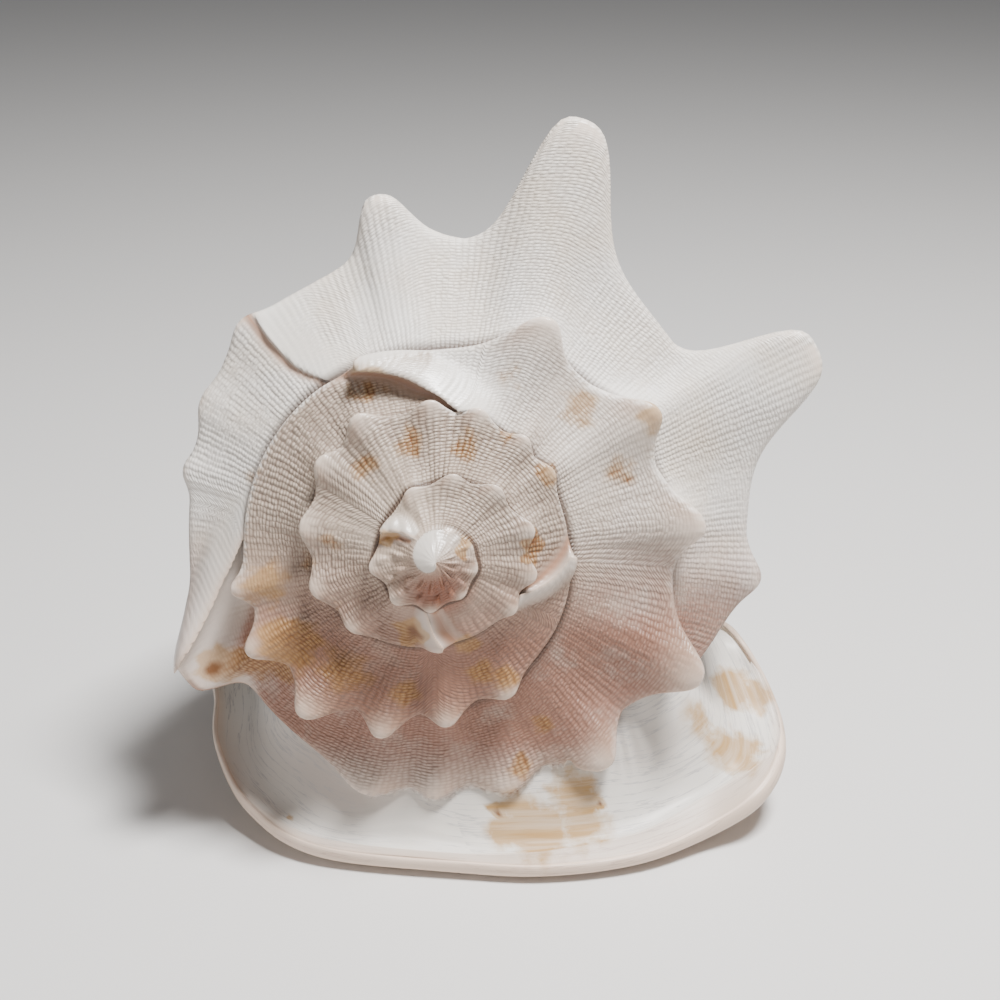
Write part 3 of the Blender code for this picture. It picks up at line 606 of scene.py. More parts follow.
foot_rows.append(np.tile((*FOOT_MIDDLE, FOOT_FLOOR), (FOOT_COLUMNS + 1, 1)))
foot_places = np.stack(foot_rows, axis=1)
foot_places[-1] = foot_places[0]
print("the foot has", foot_places.shape[1], "rows of", FOOT_COLUMNS, "places")

# %% [markdown]
# The foot's map runs round the rim one way and in from it the other. Its growth left low steps that run
# along with the rim, and beside the lower right knobs a callus is corrugated like a washboard.

# %% Growth steps and callus
STEP_PITCH, STEP_HEIGHT, STEP_FADE = 5.5, 0.16, 6.0
STEP_SWAY, STEP_SWAY_LENGTH = 2.5, 31.0
CALLUS_PITCH, CALLUS_HEIGHT = 4.6, 0.7
CALLUS_SWAY, CALLUS_SWAY_LENGTH = 1.5, 9.0
CALLUS_PLACE, CALLUS_SPREAD = (82.0, 44.0), (30.0, 16.0)
row_number = np.arange(foot_places.shape[1])[None, :]
rim_start = 1 + FLARE_ROWS
rim_end = rim_start + len(RIM_SECTION)
on_top = (row_number > 2) & (row_number < rim_start)
foot_steps = np.linalg.norm(np.diff(foot_places, axis=1), axis=2)
foot_across = np.concatenate([np.zeros((FOOT_COLUMNS + 1, 1)), np.cumsum(foot_steps, axis=1)], axis=1)
from_rim = foot_across[:, rim_start:rim_start + 1] - foot_across
rim_steps = np.linalg.norm(np.diff(foot_rim, axis=0), axis=1)
foot_along = np.broadcast_to(np.concatenate([[0.0], np.cumsum(rim_steps)])[:, None], foot_across.shape)


def patch(place, spread):
    """A soft patch on the foot, by its place along the rim and its distance in from it."""
    return bump_at(foot_along, place[0], spread[0]) * bump_at(from_rim, place[1], spread[1])


swept = from_rim + STEP_SWAY * np.sin(foot_along / STEP_SWAY_LENGTH)
growth_steps = STEP_HEIGHT * np.sin(math.tau * swept / STEP_PITCH) * on_top
growth_steps = growth_steps * np.clip(from_rim / STEP_FADE, 0.0, 1.0)
swept = from_rim + CALLUS_SWAY * np.sin(foot_along / CALLUS_SWAY_LENGTH)
callus = CALLUS_HEIGHT * patch(CALLUS_PLACE, CALLUS_SPREAD) * on_top
callus = callus * np.sin(math.tau * swept / CALLUS_PITCH)
print("the rim is", round(float(foot_along[-1, 0])), "mm round")

# %% [markdown]
# The rim is tinted peach, and so is the underside, which darkens towards the mouth with painted shade.
# The callus is a greyish brown, and the trough at the left, where the shield meets the body, is darkened
# with the same greyish brown as painted shade.

# %% Mark the foot
RIM_PEACH, RIM_FADE = 0.8, 3.0
UNDER_FADE, MOUTH_SHADE = 2.0, 0.5
CALLUS_TINT, CALLUS_TINT_SPREAD = 0.5, (30.0, 12.0)
# Place and spread of the painted shade in the trough at the left
TROUGH_SHADE_PLACE, TROUGH_SHADE_SPREAD = (685.0, 30.0), (48.0, 13.0)
on_rim = np.clip((row_number - rim_start + RIM_FADE) / RIM_FADE, 0.0, 1.0) * (row_number <= rim_end)
underneath = np.clip((row_number - rim_end) / UNDER_FADE, 0.0, 1.0)
callus_tint = CALLUS_TINT * patch(CALLUS_PLACE, CALLUS_TINT_SPREAD)
foot_marks = {
    **PLAIN_MARKS,
    "polish": 1.0,
    "peach": np.maximum(on_rim * RIM_PEACH, underneath),
    # Painted shade darkens the underside towards the mouth
    "crevice_shade": np.clip((row_number - rim_end - RIM_FADE) / RIM_FADE, 0.0, 1.0) * MOUTH_SHADE,
    "shield": 1.0,
    "relief": growth_steps + callus,
    # Greyish brown callus tint, and painted shade in the trough at the left
    "age_and_trough_shade": np.maximum(callus_tint, patch(TROUGH_SHADE_PLACE, TROUGH_SHADE_SPREAD)),
}
foot = add_sheet("foot", foot_places, foot_along, -from_rim, foot_marks)

# %% [markdown]
# The whorls, the side and the spout share their borders, so they are joined and their doubles merged
# into one closed skin, and the foot is closed in the same way. A boolean needs both skins closed, so each
# one is searched for open edges.

# %% Close the two skins
WELD = 0.0000001


def weld(made):
    """Merge an object's doubled vertices and turn its faces outwards."""
    deselect_all()
    made.select_set(True)
    bpy.context.view_layer.objects.active = made
    bpy.ops.object.mode_set(mode="EDIT")
    bpy.ops.mesh.select_all(action="SELECT")
    bpy.ops.mesh.remove_doubles(threshold=WELD)
    bpy.ops.mesh.normals_make_consistent(inside=False)
    bpy.ops.mesh.select_all(action="DESELECT")
    bpy.ops.mesh.select_non_manifold()
    bpy.ops.object.mode_set(mode="OBJECT")
    loose = sum(vertex.select for vertex in made.data.vertices)
    print(made.name, "is closed" if not loose else f"has {loose} vertices on open edges")


deselect_all()
for part in (body_side, spout, whorls):
    part.select_set(True)
bpy.context.view_layer.objects.active = whorls
bpy.ops.object.join()
shell = whorls
shell.name = "horned_shell"
weld(shell)
weld(foot)

# %% [markdown]
# The chamber follows the last whorl inside its wall, round a pillar in the middle. It is a ring of
# sections, which is again a grid whose columns are the sections.

# %% The chamber's cutter
WALL = 4.5
CHAMBER_START = -178.0
CHAMBER_END = 165.0
CHAMBER_SECTIONS = 40
CHAMBER_LENGTH = (95.0, 165.0)
CHAMBER_ROOF = 6.5
# Shares of the chamber's length at the points of its outer wall, then those of its inner side with radii
CHAMBER_WALL = (0.05, 0.1, 0.16, 0.24, 0.32, 0.41, 0.5, 0.59, 0.68, 0.76, 0.85, 0.93, 1.0)
PILLAR = ((0.96, 10.0), (0.5, 12.0), (0.1, 14.0))
PILLAR_TOP = (14.0, 15.0)


def chamber_section(grown):
    """One section of the chamber, as a closed row of places."""
    angle = CHAMBER_START + (CHAMBER_END - CHAMBER_START) * grown
    radius, depth = float(smooth(SHOULDER, angle, 1)), float(smooth(SHOULDER, angle, 2))
    length = CHAMBER_LENGTH[0] + (CHAMBER_LENGTH[1] - CHAMBER_LENGTH[0]) * min(1.0, grown * 2.0)
    places = []
    for part in CHAMBER_WALL:
        down = CHAMBER_ROOF + (length - CHAMBER_ROOF) * part
        places.append((radius * float(smooth(SIDE, down)) - WALL, depth + down, down))
    places += [(pillar, depth + length * part, length * part) for part, pillar in PILLAR]
    places.append((*PILLAR_TOP, 0.0))
    places.append(places[0])
    return np.stack([body_place(angle, *place) for place in places])


sections = [chamber_section(number / CHAMBER_SECTIONS) for number in range(CHAMBER_SECTIONS + 1)]
first_end = np.tile(sections[0][:-1].mean(axis=0), (len(sections[0]), 1))
last_end = np.tile(sections[-1][:-1].mean(axis=0), (len(sections[0]), 1))
chamber_places = np.stack([first_end] + sections + [last_end])
chamber_flat = np.zeros(chamber_places.shape[:2])
# The faces cut inside are darkened with painted shade
inside_marks = {**PLAIN_MARKS, "polish": 0.8, "peach": 0.6, "crevice_shade": 0.7, "shield": 1.0}
chamber = add_sheet("chamber", chamber_places, chamber_flat, chamber_flat, inside_marks)
weld(chamber)

# %% [markdown]
# The mouth is a long slot with a row of teeth on each side. Its outline is drawn as a grid two rows
# deep, wavy along both edges, and extruded upwards in edit mode.

# %% The mouth's cutter
# How far back, where its middle is across, and its width
MOUTH = [
    (52, 37, 8), (75, 34, 16), (110, 30, 20), (150, 25, 21), (190, 21, 18), (210, 18, 14), (221, 16, 8),
]
MOUTH_TOP = 48.0
MOUTH_BOTTOM = -6.0
MOUTH_STEPS = 150
TOOTH_PITCH = 9.0
TOOTH_DEPTH = 3.0
backs = np.linspace(MOUTH[0][0], MOUTH[-1][0], MOUTH_STEPS + 1)
teeth = TOOTH_DEPTH * np.clip(np.cos(2.0 * math.pi * backs / TOOTH_PITCH), 0.0, 1.0)
mouth_half = smooth(MOUTH, backs, 2) / 2.0 - teeth
mouth_middle = smooth(MOUTH, backs, 1)
sides = [mouth_middle - mouth_half, mouth_middle, mouth_middle + mouth_half]
mouth_places = np.stack([np.stack([x, backs, 0 * backs + MOUTH_BOTTOM], axis=-1) for x in sides], axis=1)
mouth_flat = np.zeros(mouth_places.shape[:2])
mouth = add_sheet("mouth", mouth_places, mouth_flat, mouth_flat, inside_marks)
bpy.ops.object.mode_set(mode="EDIT")
bpy.ops.mesh.select_all(action="SELECT")
rise = (0.0, 0.0, (MOUTH_TOP - MOUTH_BOTTOM) * MM)
bpy.ops.mesh.extrude_region_move(TRANSFORM_OT_translate={"value": rise})
bpy.ops.object.mode_set(mode="OBJECT")
weld(mouth)

# %% [markdown]
# The shell rests on its lip, so nothing of it may reach below the floor. A block as wide as the floor
# under it takes off what would.

# %% The floor's cutter
FLOOR_BLOCK = (600.0, 600.0, 40.0)
BLOCK_BACK = 100.0
deselect_all()
bpy.ops.mesh.primitive_cube_add(size=1.0, location=(0.0, BLOCK_BACK * MM, -FLOOR_BLOCK[2] * MM / 2))
under_floor = bpy.context.active_object
under_floor.scale = Vector(FLOOR_BLOCK) * MM
bpy.ops.object.transform_apply(location=True, rotation=False, scale=True)
for mark, value in inside_marks.items():
    under_floor.data.attributes.new(mark, "FLOAT", "POINT").data.foreach_set("value", [value] * 8)
print("the block is", FLOOR_BLOCK, "mm")

# %% [markdown]
# A boolean fuses the foot to the body and cuts out the chamber and the mouth. The manifold solver is
# chosen, because every mesh here is closed and fine. Each tool is removed once it has been used.


# %% A boolean step
def combine(operation, tool):
    """Apply one boolean to the shell, and remove its tool."""
    boolean = shell.modifiers.new(tool.name, "BOOLEAN")
    boolean.operation = operation
    boolean.solver = "MANIFOLD"
    boolean.object = tool
    deselect_all()
    bpy.context.view_layer.objects.active = shell
    bpy.ops.object.modifier_apply(modifier=boolean.name)
    bpy.data.objects.remove(tool)
    print(operation.lower(), "leaves", len(shell.data.polygons), "faces")


# %% [markdown]
# Some work is easier on the finished skin than in the formulas. A vertex that is pulled towards the
# middle of its neighbours rounds a hard shoulder or a step, as the smooth brush does in sculpt mode. A
# vertex that is pushed along its own normal raises a relief, as a Displace modifier does. Each vertex has
# its own strength, so only the places meant for it move.


# %% Helpers that move vertices
def spots_of(made):
    """The vertices of an object as an array of places."""
    flat = np.empty(len(made.data.vertices) * 3)
    made.data.vertices.foreach_get("co", flat)
    return flat.reshape(-1, 3)


def mark_of(made, name):
    """One of an object's marks as an array."""
    values = np.empty(len(made.data.vertices))
    made.data.attributes[name].data.foreach_get("value", values)
    return values


def relax(made, weight, rounds):
    """Pull each vertex towards the middle of its neighbours, as much as its weight says."""
    ends = np.empty(len(made.data.edges) * 2, int)
    made.data.edges.foreach_get("vertices", ends)
    first, second = np.concatenate([ends[0::2], ends[1::2]]), np.concatenate([ends[1::2], ends[0::2]])
    spots = spots_of(made)
    count = np.bincount(first, minlength=len(spots))[:, None]
    for _ in range(rounds):
        total = np.stack([np.bincount(first, spots[second, axis], len(spots)) for axis in range(3)], axis=1)
        spots += 0.5 * weight[:, None] * (total / count - spots)
    made.data.vertices.foreach_set("co", spots.ravel())
    made.data.update()


def seam_weight(made, name, rings):
    """One near the line where a mark changes from low to high, fading over a few rings of vertices."""
    ends = np.empty(len(made.data.edges) * 2, int)
    made.data.edges.foreach_get("vertices", ends)
    first, second = ends[0::2], ends[1::2]
    high = mark_of(made, name) > 0.5
    weight = np.zeros(len(high))
    mixed = high[first] != high[second]
    weight[first[mixed]] = weight[second[mixed]] = 1.0
    for ring in range(rings):
        nearest = np.maximum(weight[first], weight[second]) * (1.0 - 1.0 / (rings + 1 - 0.5 * ring))
        np.maximum.at(weight, first, nearest)
        np.maximum.at(weight, second, nearest)
    return weight


# %% Round the shoulders and the tip
ROUND_TIMES = 14
TIP_ROUND, TIP_TIMES = 14.0, 90
sharp_spots = spots_of(shell)
relax(shell, mark_of(shell, "rounding"), ROUND_TIMES)
tip_away = np.linalg.norm(spots_of(shell) / MM - np.array([0.0, 0.0, TIP_HEIGHT]), axis=1)
relax(shell, bump_at(tip_away, 0.0, TIP_ROUND), TIP_TIMES)
moved = np.linalg.norm(spots_of(shell) - sharp_spots, axis=1).max()
print("rounding moved a vertex by at most", round(float(moved) / MM, 1), "mm")

# %% Raise the relief
for made in (shell, foot):
    normals = np.empty(len(made.data.vertices) * 3)
    made.data.vertices.foreach_get("normal", normals)
    raised = spots_of(made) + normals.reshape(-1, 3) * mark_of(made, "relief")[:, None] * MM
    made.data.vertices.foreach_set("co", raised.ravel())
    made.data.update()
    print("the relief on", made.name, "is up to", round(float(mark_of(made, "relief").max()), 2), "mm high")

# %% [markdown]
# Where the foot meets the body, the animal laid enamel over the older shell, so there is no sharp joint.
# The vertices beside the line of the boolean are relaxed a little, and the line itself is darkened with
# painted shade.

# %% Fuse the foot and cut the openings
SEAM_RINGS, SEAM_TIMES = 3, 4
SEAM_SHADE = 0.38
combine("UNION", foot)
relax(shell, seam_weight(shell, "shield", SEAM_RINGS), SEAM_TIMES)
# The line of the boolean is darkened with painted shade
shaded = np.maximum(mark_of(shell, "crevice_shade"), SEAM_SHADE * seam_weight(shell, "shield", 0))
shell.data.attributes["crevice_shade"].data.foreach_set("value", shaded)
for tool in (chamber, mouth, under_floor):
    combine("DIFFERENCE", tool)
print("marks kept:", [layer.name for layer in shell.data.attributes])

# %% [markdown]
# The formulas are worked out from under the spire's tip. The whole mesh is now moved so that its box sits
# in the frame's box, which also tells us where the tip has gone.

# %% Stand it in the frame
spots = spots_of(shell)
own_low, own_high = spots.min(axis=0), spots.max(axis=0)
tip_place = (frame_low + frame_high - own_low - own_high) / 2.0
tip_place[2] = frame_low[2] - own_low[2]
shell.data.vertices.foreach_set("co", (spots + tip_place).ravel())
shell.data.update()
print("the spire's tip stands over", tip_place.round(4), "and the box is", (own_high - own_low).round(4))

# %% [markdown]
# Brown spots are scattered over the coil, most of them in rows, and yellow-brown patches lie on the
# shield. Each is given as a place with a size and a strength, stored as one more mark on the vertices. The
# lower half of the spire is also flushed a pinkish brown, except on the polished tips and lips: partly the
# shell's own colour, partly painted shade and a painted reflection of red light from below.

# %% Stains
# Place in millimetres from under the tip, radius, and strength
SPOTS = [
    (-60, 18, 107, 7, 0.9), (-51, 12, 88, 8, 1.0), (-25, 21, 149, 5, 0.7), (-8, 23, 157, 5, 0.6),
    (10, 23, 157, 5, 0.65), (26, 39, 177, 6, 0.45), (48, 39, 164, 6, 0.8), (63, 34, 143, 6, 0.5),
    (-25, 32, 174, 5, 1.2), (-21, 32, 175, 4, 1.4), (-27, 33, 174, 6, 0.7), (-11, 5, 72, 5, 0.6),
    (15, 6, 78, 4, 0.6), (24, 6, 76, 4, 0.7), (29, 10, 39, 4, 0.9), (37, 12, 54, 3.5, 0.7),
    (-31, 8, 79, 10, 0.6), (-33, 7, 106, 5, 0.4), (-43, 15, 117, 4, 0.4), (-35, 13, 126, 4, 0.5),
    (-64, 36, 140, 5, 0.5), (34, 10, 125, 4, 1.5), (-16, 7, 130, 2.6, 1.2), (9, 4, 128, 2.6, 1.1),
    (-8, 3, 96, 4, 1.4), (10, 5, 91, 3.5, 0.9), (38, 22, 147, 4, 0.7), (23, 26, 159, 3, 0.6),
    (75, 37, 162, 5, 1.1), (-66, 19, 74, 9, 0.8), (-55, 19, 74, 7, 0.7), (-80, 21, 72, 4.5, 1.5),
    (-75, 19, 73, 7, 1.0), (36, 3, 17, 10, 0.85), (48, 7, 26, 10, 0.85), (30, 6, 22, 8, 0.8),
    (52, 2, 18, 9, 0.8), (26, 3, 15, 7, 0.75), (20, 8, 22, 2.0, 1.8), (58, 9, 25, 1.6, 1.5),
    (-56, 16, 13, 1.4, 1.0), (109, 56, 43, 8, 0.9), (119, 56, 39, 6, 0.9), (106, 27, 34, 9, 0.8),
    (114, 33, 33, 6, 0.6), (94, 28, 48, 8, 0.5),
]
SPOT_GROWTH = 1.3
RAGGED_BY, RAGGED_STEP, RAGGED_CROSS = 1.1, 0.9, 0.7
placed = spots / MM
crossed = np.sin(placed[:, [1, 2, 0]] * RAGGED_CROSS)
warped = placed + RAGGED_BY * np.sin(placed[:, [2, 0, 1]] * RAGGED_STEP + crossed)
stain = np.zeros(len(placed))
for x, y, z, size, strength in SPOTS:
    away = ((warped - np.array([x, y, z])) ** 2).sum(axis=1)
    stain = np.maximum(stain, strength * np.exp(-away / (SPOT_GROWTH * size) ** 2))
print("stained vertices:", int((stain > 0.3).sum()), "of", len(stain))

# %% [markdown]
# The blush is partly the shell's own pinkish brown and partly painted shade with a painted reflection
# of red light from below. It grows from the middle of the spire downwards, pales again at the foot, and
# does not reach round to the back. A patch of it also colours the whorls just under the tip, partly as
# painted shade under the dome.

# %% The blush, partly painted shade
BLUSH_AND_SHADE_TOP, BLUSH_AND_SHADE_FULL = 128.0, 88.0
BLUSH_AND_SHADE_BOTTOM, BLUSH_AND_SHADE_GONE, BLUSH_AND_SHADE_LEAST = 48.0, 20.0, 0.45
BLUSH_AND_SHADE_BACK, BLUSH_AND_SHADE_BACK_FADE = 70.0, 40.0
UNDER_TIP, UNDER_SPREAD, UNDER_TIP_BLUSH_AND_SHADE = np.array([1.0, 0.0, 112.0]), 14.0, 1.3
# Darker and pinker lower down: partly the shell's own colour, partly painted shade and painted reflection
blush_and_shade = np.clip((BLUSH_AND_SHADE_TOP - placed[:, 2]) / (BLUSH_AND_SHADE_TOP - BLUSH_AND_SHADE_FULL), 0.0, 1.0)
blush_and_shade = blush_and_shade * np.clip((placed[:, 2] - BLUSH_AND_SHADE_GONE) / (BLUSH_AND_SHADE_BOTTOM - BLUSH_AND_SHADE_GONE), BLUSH_AND_SHADE_LEAST, 1.0)
# Partly painted shade under the dome of the tip
under_tip = np.exp(-((placed - UNDER_TIP) ** 2).sum(axis=1) / UNDER_SPREAD**2)
blush_and_shade = np.maximum(blush_and_shade, UNDER_TIP_BLUSH_AND_SHADE * under_tip)
blush_and_shade = blush_and_shade * np.clip((BLUSH_AND_SHADE_BACK - placed[:, 1]) / BLUSH_AND_SHADE_BACK_FADE, 0.0, 1.0)
for mark_name, values in (("stain", stain), ("blush_and_shade", blush_and_shade)):
    shell.data.attributes.new(mark_name, "FLOAT", "POINT").data.foreach_set("value", values)
print("blushing vertices:", int((blush_and_shade > 0.3).sum()), "of", len(blush_and_shade))

# %% Smooth shading
deselect_all()
shell.select_set(True)
bpy.context.view_layer.objects.active = shell
bpy.ops.object.shade_smooth()
print("all", len(shell.data.polygons), "faces are shaded smooth")

# %% [markdown]
# The shell's surface is one material. It starts from chalky white with a cream drift, and the marks
# decide the rest: polished enamel is smooth and glossy, everything else carries the fine net. A node graph
# can be drawn by hand in the shader editor. Written out, it needs a few helpers, or each line would be
# three.

# %% A small toolbox for node graphs
shell_material = bpy.data.materials.new("shell")
shell_material.use_nodes = True
graph = shell_material.node_tree
surface = graph.nodes["Principled BSDF"]


def node(kind, **settings):
    """Add a node, and choose its settings."""
    made = graph.nodes.new(kind)
    for key, value in settings.items():
        setattr(made, key, value)
    return made


def feed(made, **links):
    """Link or set inputs, by name with underscores for spaces, or by number as i0, i1 and so on."""
    for key, value in links.items():
        socket = made.inputs[int(key[1:]) if key.startswith("i") else key.replace("_", " ")]
        if isinstance(value, bpy.types.NodeSocket):
            graph.links.new(value, socket)
        else:
            socket.default_value = value
    return made


def maths(operation, first, second=0.0, clamp=False):
    """One step of arithmetic."""
    made = node("ShaderNodeMath", operation=operation, use_clamp=clamp)
    return feed(made, i0=first, i1=second).outputs[0]


def times(first, second):
    return maths("MULTIPLY", first, second)


def rest_of(value):
    """What is left of one."""
    return maths("SUBTRACT", 1.0, value)


def at_least(least, value):
    """The value squeezed between the least and one."""
    return maths("ADD", least, times(value, 1.0 - least))


def scaled(vector, across, along):
    """A map stretched by its own factor each way."""
    made = node("ShaderNodeVectorMath", operation="MULTIPLY")
    return feed(made, i0=vector, i1=(across, along, 1.0)).outputs["Vector"]


def mark(name):
    """A mark kept on the vertices."""
    return node("ShaderNodeAttribute", attribute_name=name).outputs["Fac"]


def noise(vector, scale, detail=4.0, roughness=0.55):
    """Cloudy noise, from zero to one with a mean of a half."""
    made = node("ShaderNodeTexNoise")
    return feed(made, Vector=vector, Scale=scale, Detail=detail, Roughness=roughness).outputs["Fac"]


def ramp_of(value, low, high):
    """Zero below the low value, one above the high one, and even between."""
    made = node("ShaderNodeMapRange", clamp=True)
    return feed(made, Value=value, From_Min=low, From_Max=high).outputs["Result"]


def mix_colour(share, first, second):
    """The second colour laid over the first, as thick as the share says."""
    made = node("ShaderNodeMix", data_type="RGBA", blend_type="MIX")
    feed(made, i0=share)
    for socket, value in ((made.inputs[6], first), (made.inputs[7], second)):
        if isinstance(value, bpy.types.NodeSocket):
            graph.links.new(value, socket)
        else:
            socket.default_value = (*value, 1.0)
    return made.outputs[2]


print("the graph starts with", len(graph.nodes), "nodes")

# %% [markdown]
# Real shell is never one white. Chalk is the bare surface of the net, cream drifts over it, and enamel is
# what the polished places turn to. The others are laid on top where the marks say.

# %% Colours of the shell
CHALK = (0.80, 0.755, 0.70)
CREAM = (0.72, 0.58, 0.41)
OLD = (0.46, 0.35, 0.26)
ENAMEL = (0.77, 0.73, 0.67)
# Greyish brown, for the callus and for the painted shade in the foot's trough
CALLUS_TINT_AND_TROUGH_SHADE = (0.40, 0.33, 0.29)
SHADOW_LINE = (0.42, 0.40, 0.40)
# Pinkish brown: partly the shell's own, partly painted shade and painted reflection of red light
BLUSH_AND_SHADE = (0.25, 0.085, 0.042)
# Pinkish brown, for the painted shade in hollows and beside the knobs
PINK_SHADE = (0.30, 0.13, 0.06)
PEACH = (0.66, 0.32, 0.13)
PIT = (0.17, 0.105, 0.08)
GOLD = (0.43, 0.23, 0.05)
BROWN = (0.15, 0.05, 0.012)
# Near black, for the painted shade in crevices and hollows
CREVICE_SHADE_COLOUR = (0.06, 0.03, 0.018)
place = node("ShaderNodeTexCoord").outputs["Object"]
own_map = node("ShaderNodeUVMap").outputs["UV"]
polish_mark, peach_mark, crevice_shade_mark = mark("polish"), mark("peach"), mark("crevice_shade")
shield_mark, flush_mark, age_and_trough_shade_mark = mark("shield"), mark("flush"), mark("age_and_trough_shade")
stain_mark, blush_and_shade_mark = mark("stain"), mark("blush_and_shade")
print("the graph has", len(graph.nodes), "nodes once the marks are read")

# %% [markdown]
# The net is a grid of small round bumps. It is drawn on the sheet's own map, in millimetres, so its rows
# follow the coil. A Voronoi pattern with little randomness gives cells that are nearly square but never
# quite regular, like the real ones. A low noise bends the rows a little first. Two grids of waves would
# also make a net, but a perfectly even one, which looks woven.

# %% The net
NET_PITCH, NET_RANDOM = 1.35, 0.35
NET_BEND, BEND_SCALE = 2.2, 0.07
CELL_LONG, CELL_HIGH = 0.72, 1.15
BEAD_FLAT, BEAD_FOOT = 0.15, 0.72
YOUNG_PITS = 0.45
bend = feed(node("ShaderNodeTexNoise"), Vector=own_map, Scale=BEND_SCALE, Detail=2.0)
shifted = node("ShaderNodeVectorMath", operation="MULTIPLY_ADD")
feed(shifted, i0=bend.outputs["Color"], i1=(NET_BEND, NET_BEND, 0.0), i2=own_map)
cells = node("ShaderNodeTexVoronoi", feature="F1")
cell_map = scaled(shifted.outputs["Vector"], CELL_LONG, CELL_HIGH)
feed(cells, Vector=cell_map, Scale=1.0 / NET_PITCH, Randomness=NET_RANDOM)
beads = rest_of(ramp_of(cells.outputs["Distance"], BEAD_FLAT, BEAD_FOOT))
patchy = noise(place, 22.0, 3.0, 0.5)
net_amount = times(maths("SUBTRACT", 1.0, polish_mark, clamp=True), ramp_of(patchy, 0.25, 0.5))
deep_pits = times(rest_of(beads), net_amount)
pits = times(deep_pits, at_least(YOUNG_PITS, age_and_trough_shade_mark))
print("the net's beads are", NET_PITCH, "mm apart")

# %% [markdown]
# The shield has no net. Its enamel was laid on in strokes along the rim, so its lines and its stains are
# drawn out one way: the same noise on a map that is squeezed along and stretched across.

# %% Lines of growth
STROKE_LONG, STROKE_FINE = 0.014, 0.26
growth_lines = node("ShaderNodeTexWave", bands_direction="X")
feed(growth_lines, Vector=own_map, Scale=0.16, Distortion=3.0, Detail=3.0, Detail_Scale=0.4)
streaks = noise(scaled(own_map, STROKE_LONG, STROKE_FINE), 1.0, 5.0, 0.6)
fine_lines = node("ShaderNodeMix", data_type="FLOAT")
feed(fine_lines, i0=shield_mark, i2=growth_lines.outputs["Fac"], i3=streaks)
print("a stroke is about", round(STROKE_FINE / STROKE_LONG), "times as long as it is wide")

# %% [markdown]
# Colour is laid over colour, from the palest up, like glazes on a pot: cream drifts, the beige of age,
# enamel, the callus tint with the painted shade of the foot's trough, and the grey strokes of the shield.

# %% The ground colours
# How thick each colour lies where its mark is full
CREAM_SHARE, OLD_SHARE, ENAMEL_SHARE, CALLUS_AND_TROUGH_SHADE_SHARE, LINE_SHARE = 0.55, 0.85, 0.75, 0.65, 0.75
drift = noise(place, 30.0, 5.0, 0.6)
base = mix_colour(times(ramp_of(drift, 0.42, 0.75), CREAM_SHARE), CHALK, CREAM)
base = mix_colour(times(age_and_trough_shade_mark, OLD_SHARE), base, OLD)
base = mix_colour(times(polish_mark, ENAMEL_SHARE), base, ENAMEL)
# The callus tint, and painted shade in the foot's trough
base = mix_colour(times(times(shield_mark, age_and_trough_shade_mark), CALLUS_AND_TROUGH_SHADE_SHARE), base, CALLUS_TINT_AND_TROUGH_SHADE)
grey_lines = rest_of(ramp_of(maths("ABSOLUTE", maths("SUBTRACT", streaks, 0.5)), 0.0, 0.02))
grey_lines = times(grey_lines, ramp_of(noise(place, 18.0), 0.35, 0.5))
base = mix_colour(times(times(grey_lines, shield_mark), LINE_SHARE), base, SHADOW_LINE)
print("ground:", CHALK, CREAM, OLD, ENAMEL)

# %% [markdown]
# Then come the pink of the lower spire, which is partly the shell's own and partly painted shade and a
# painted reflection of red light, the pinkish painted shade of the hollows, and the peach edges. The blush
# is thinner on polish and on the shield, and a ragged noise breaks it up.

# %% The pinks, partly painted shade
PINK_SHADE_SHARE, PIT_SHARE = 0.85, 0.75
# How much of the blush polish and the shield take away, and how much of it lies on the beads
BLUSH_AND_SHADE_OFF_POLISH, BLUSH_AND_SHADE_OFF_SHIELD, BLUSH_AND_SHADE_ON_BEADS = 0.75, 0.8, 0.8
EDGE_PEACH, SHIELD_PEACH = 0.35, 0.12
ragged = noise(place, 55.0, 5.0, 0.65)
# The blush: partly the shell's own pinkish brown, partly painted shade and painted reflection
blush_and_shade_amount = times(blush_and_shade_mark, rest_of(times(polish_mark, BLUSH_AND_SHADE_OFF_POLISH)))
blush_and_shade_amount = times(blush_and_shade_amount, ramp_of(ragged, -0.05, 0.48))
blush_and_shade_amount = times(blush_and_shade_amount, rest_of(times(shield_mark, BLUSH_AND_SHADE_OFF_SHIELD)))
blush_and_shade_amount = times(blush_and_shade_amount, at_least(BLUSH_AND_SHADE_ON_BEADS, deep_pits))
base = mix_colour(blush_and_shade_amount, base, BLUSH_AND_SHADE)
# Pinkish painted shade in the hollows and beside the knobs
base = mix_colour(times(flush_mark, PINK_SHADE_SHARE), base, PINK_SHADE)
edge_tint = times(peach_mark, maths("ADD", EDGE_PEACH, times(shield_mark, SHIELD_PEACH)))
base = mix_colour(edge_tint, base, PEACH)
base = mix_colour(times(pits, PIT_SHARE), base, PIT)
print("pinks:", BLUSH_AND_SHADE, PINK_SHADE, PEACH)

# %% [markdown]
# The stains come last. They are golden on the beads and brown in the pits between them, so a stain looks
# sunk into the net. Their edges are ragged on the coil and drawn out in strokes on the shield.

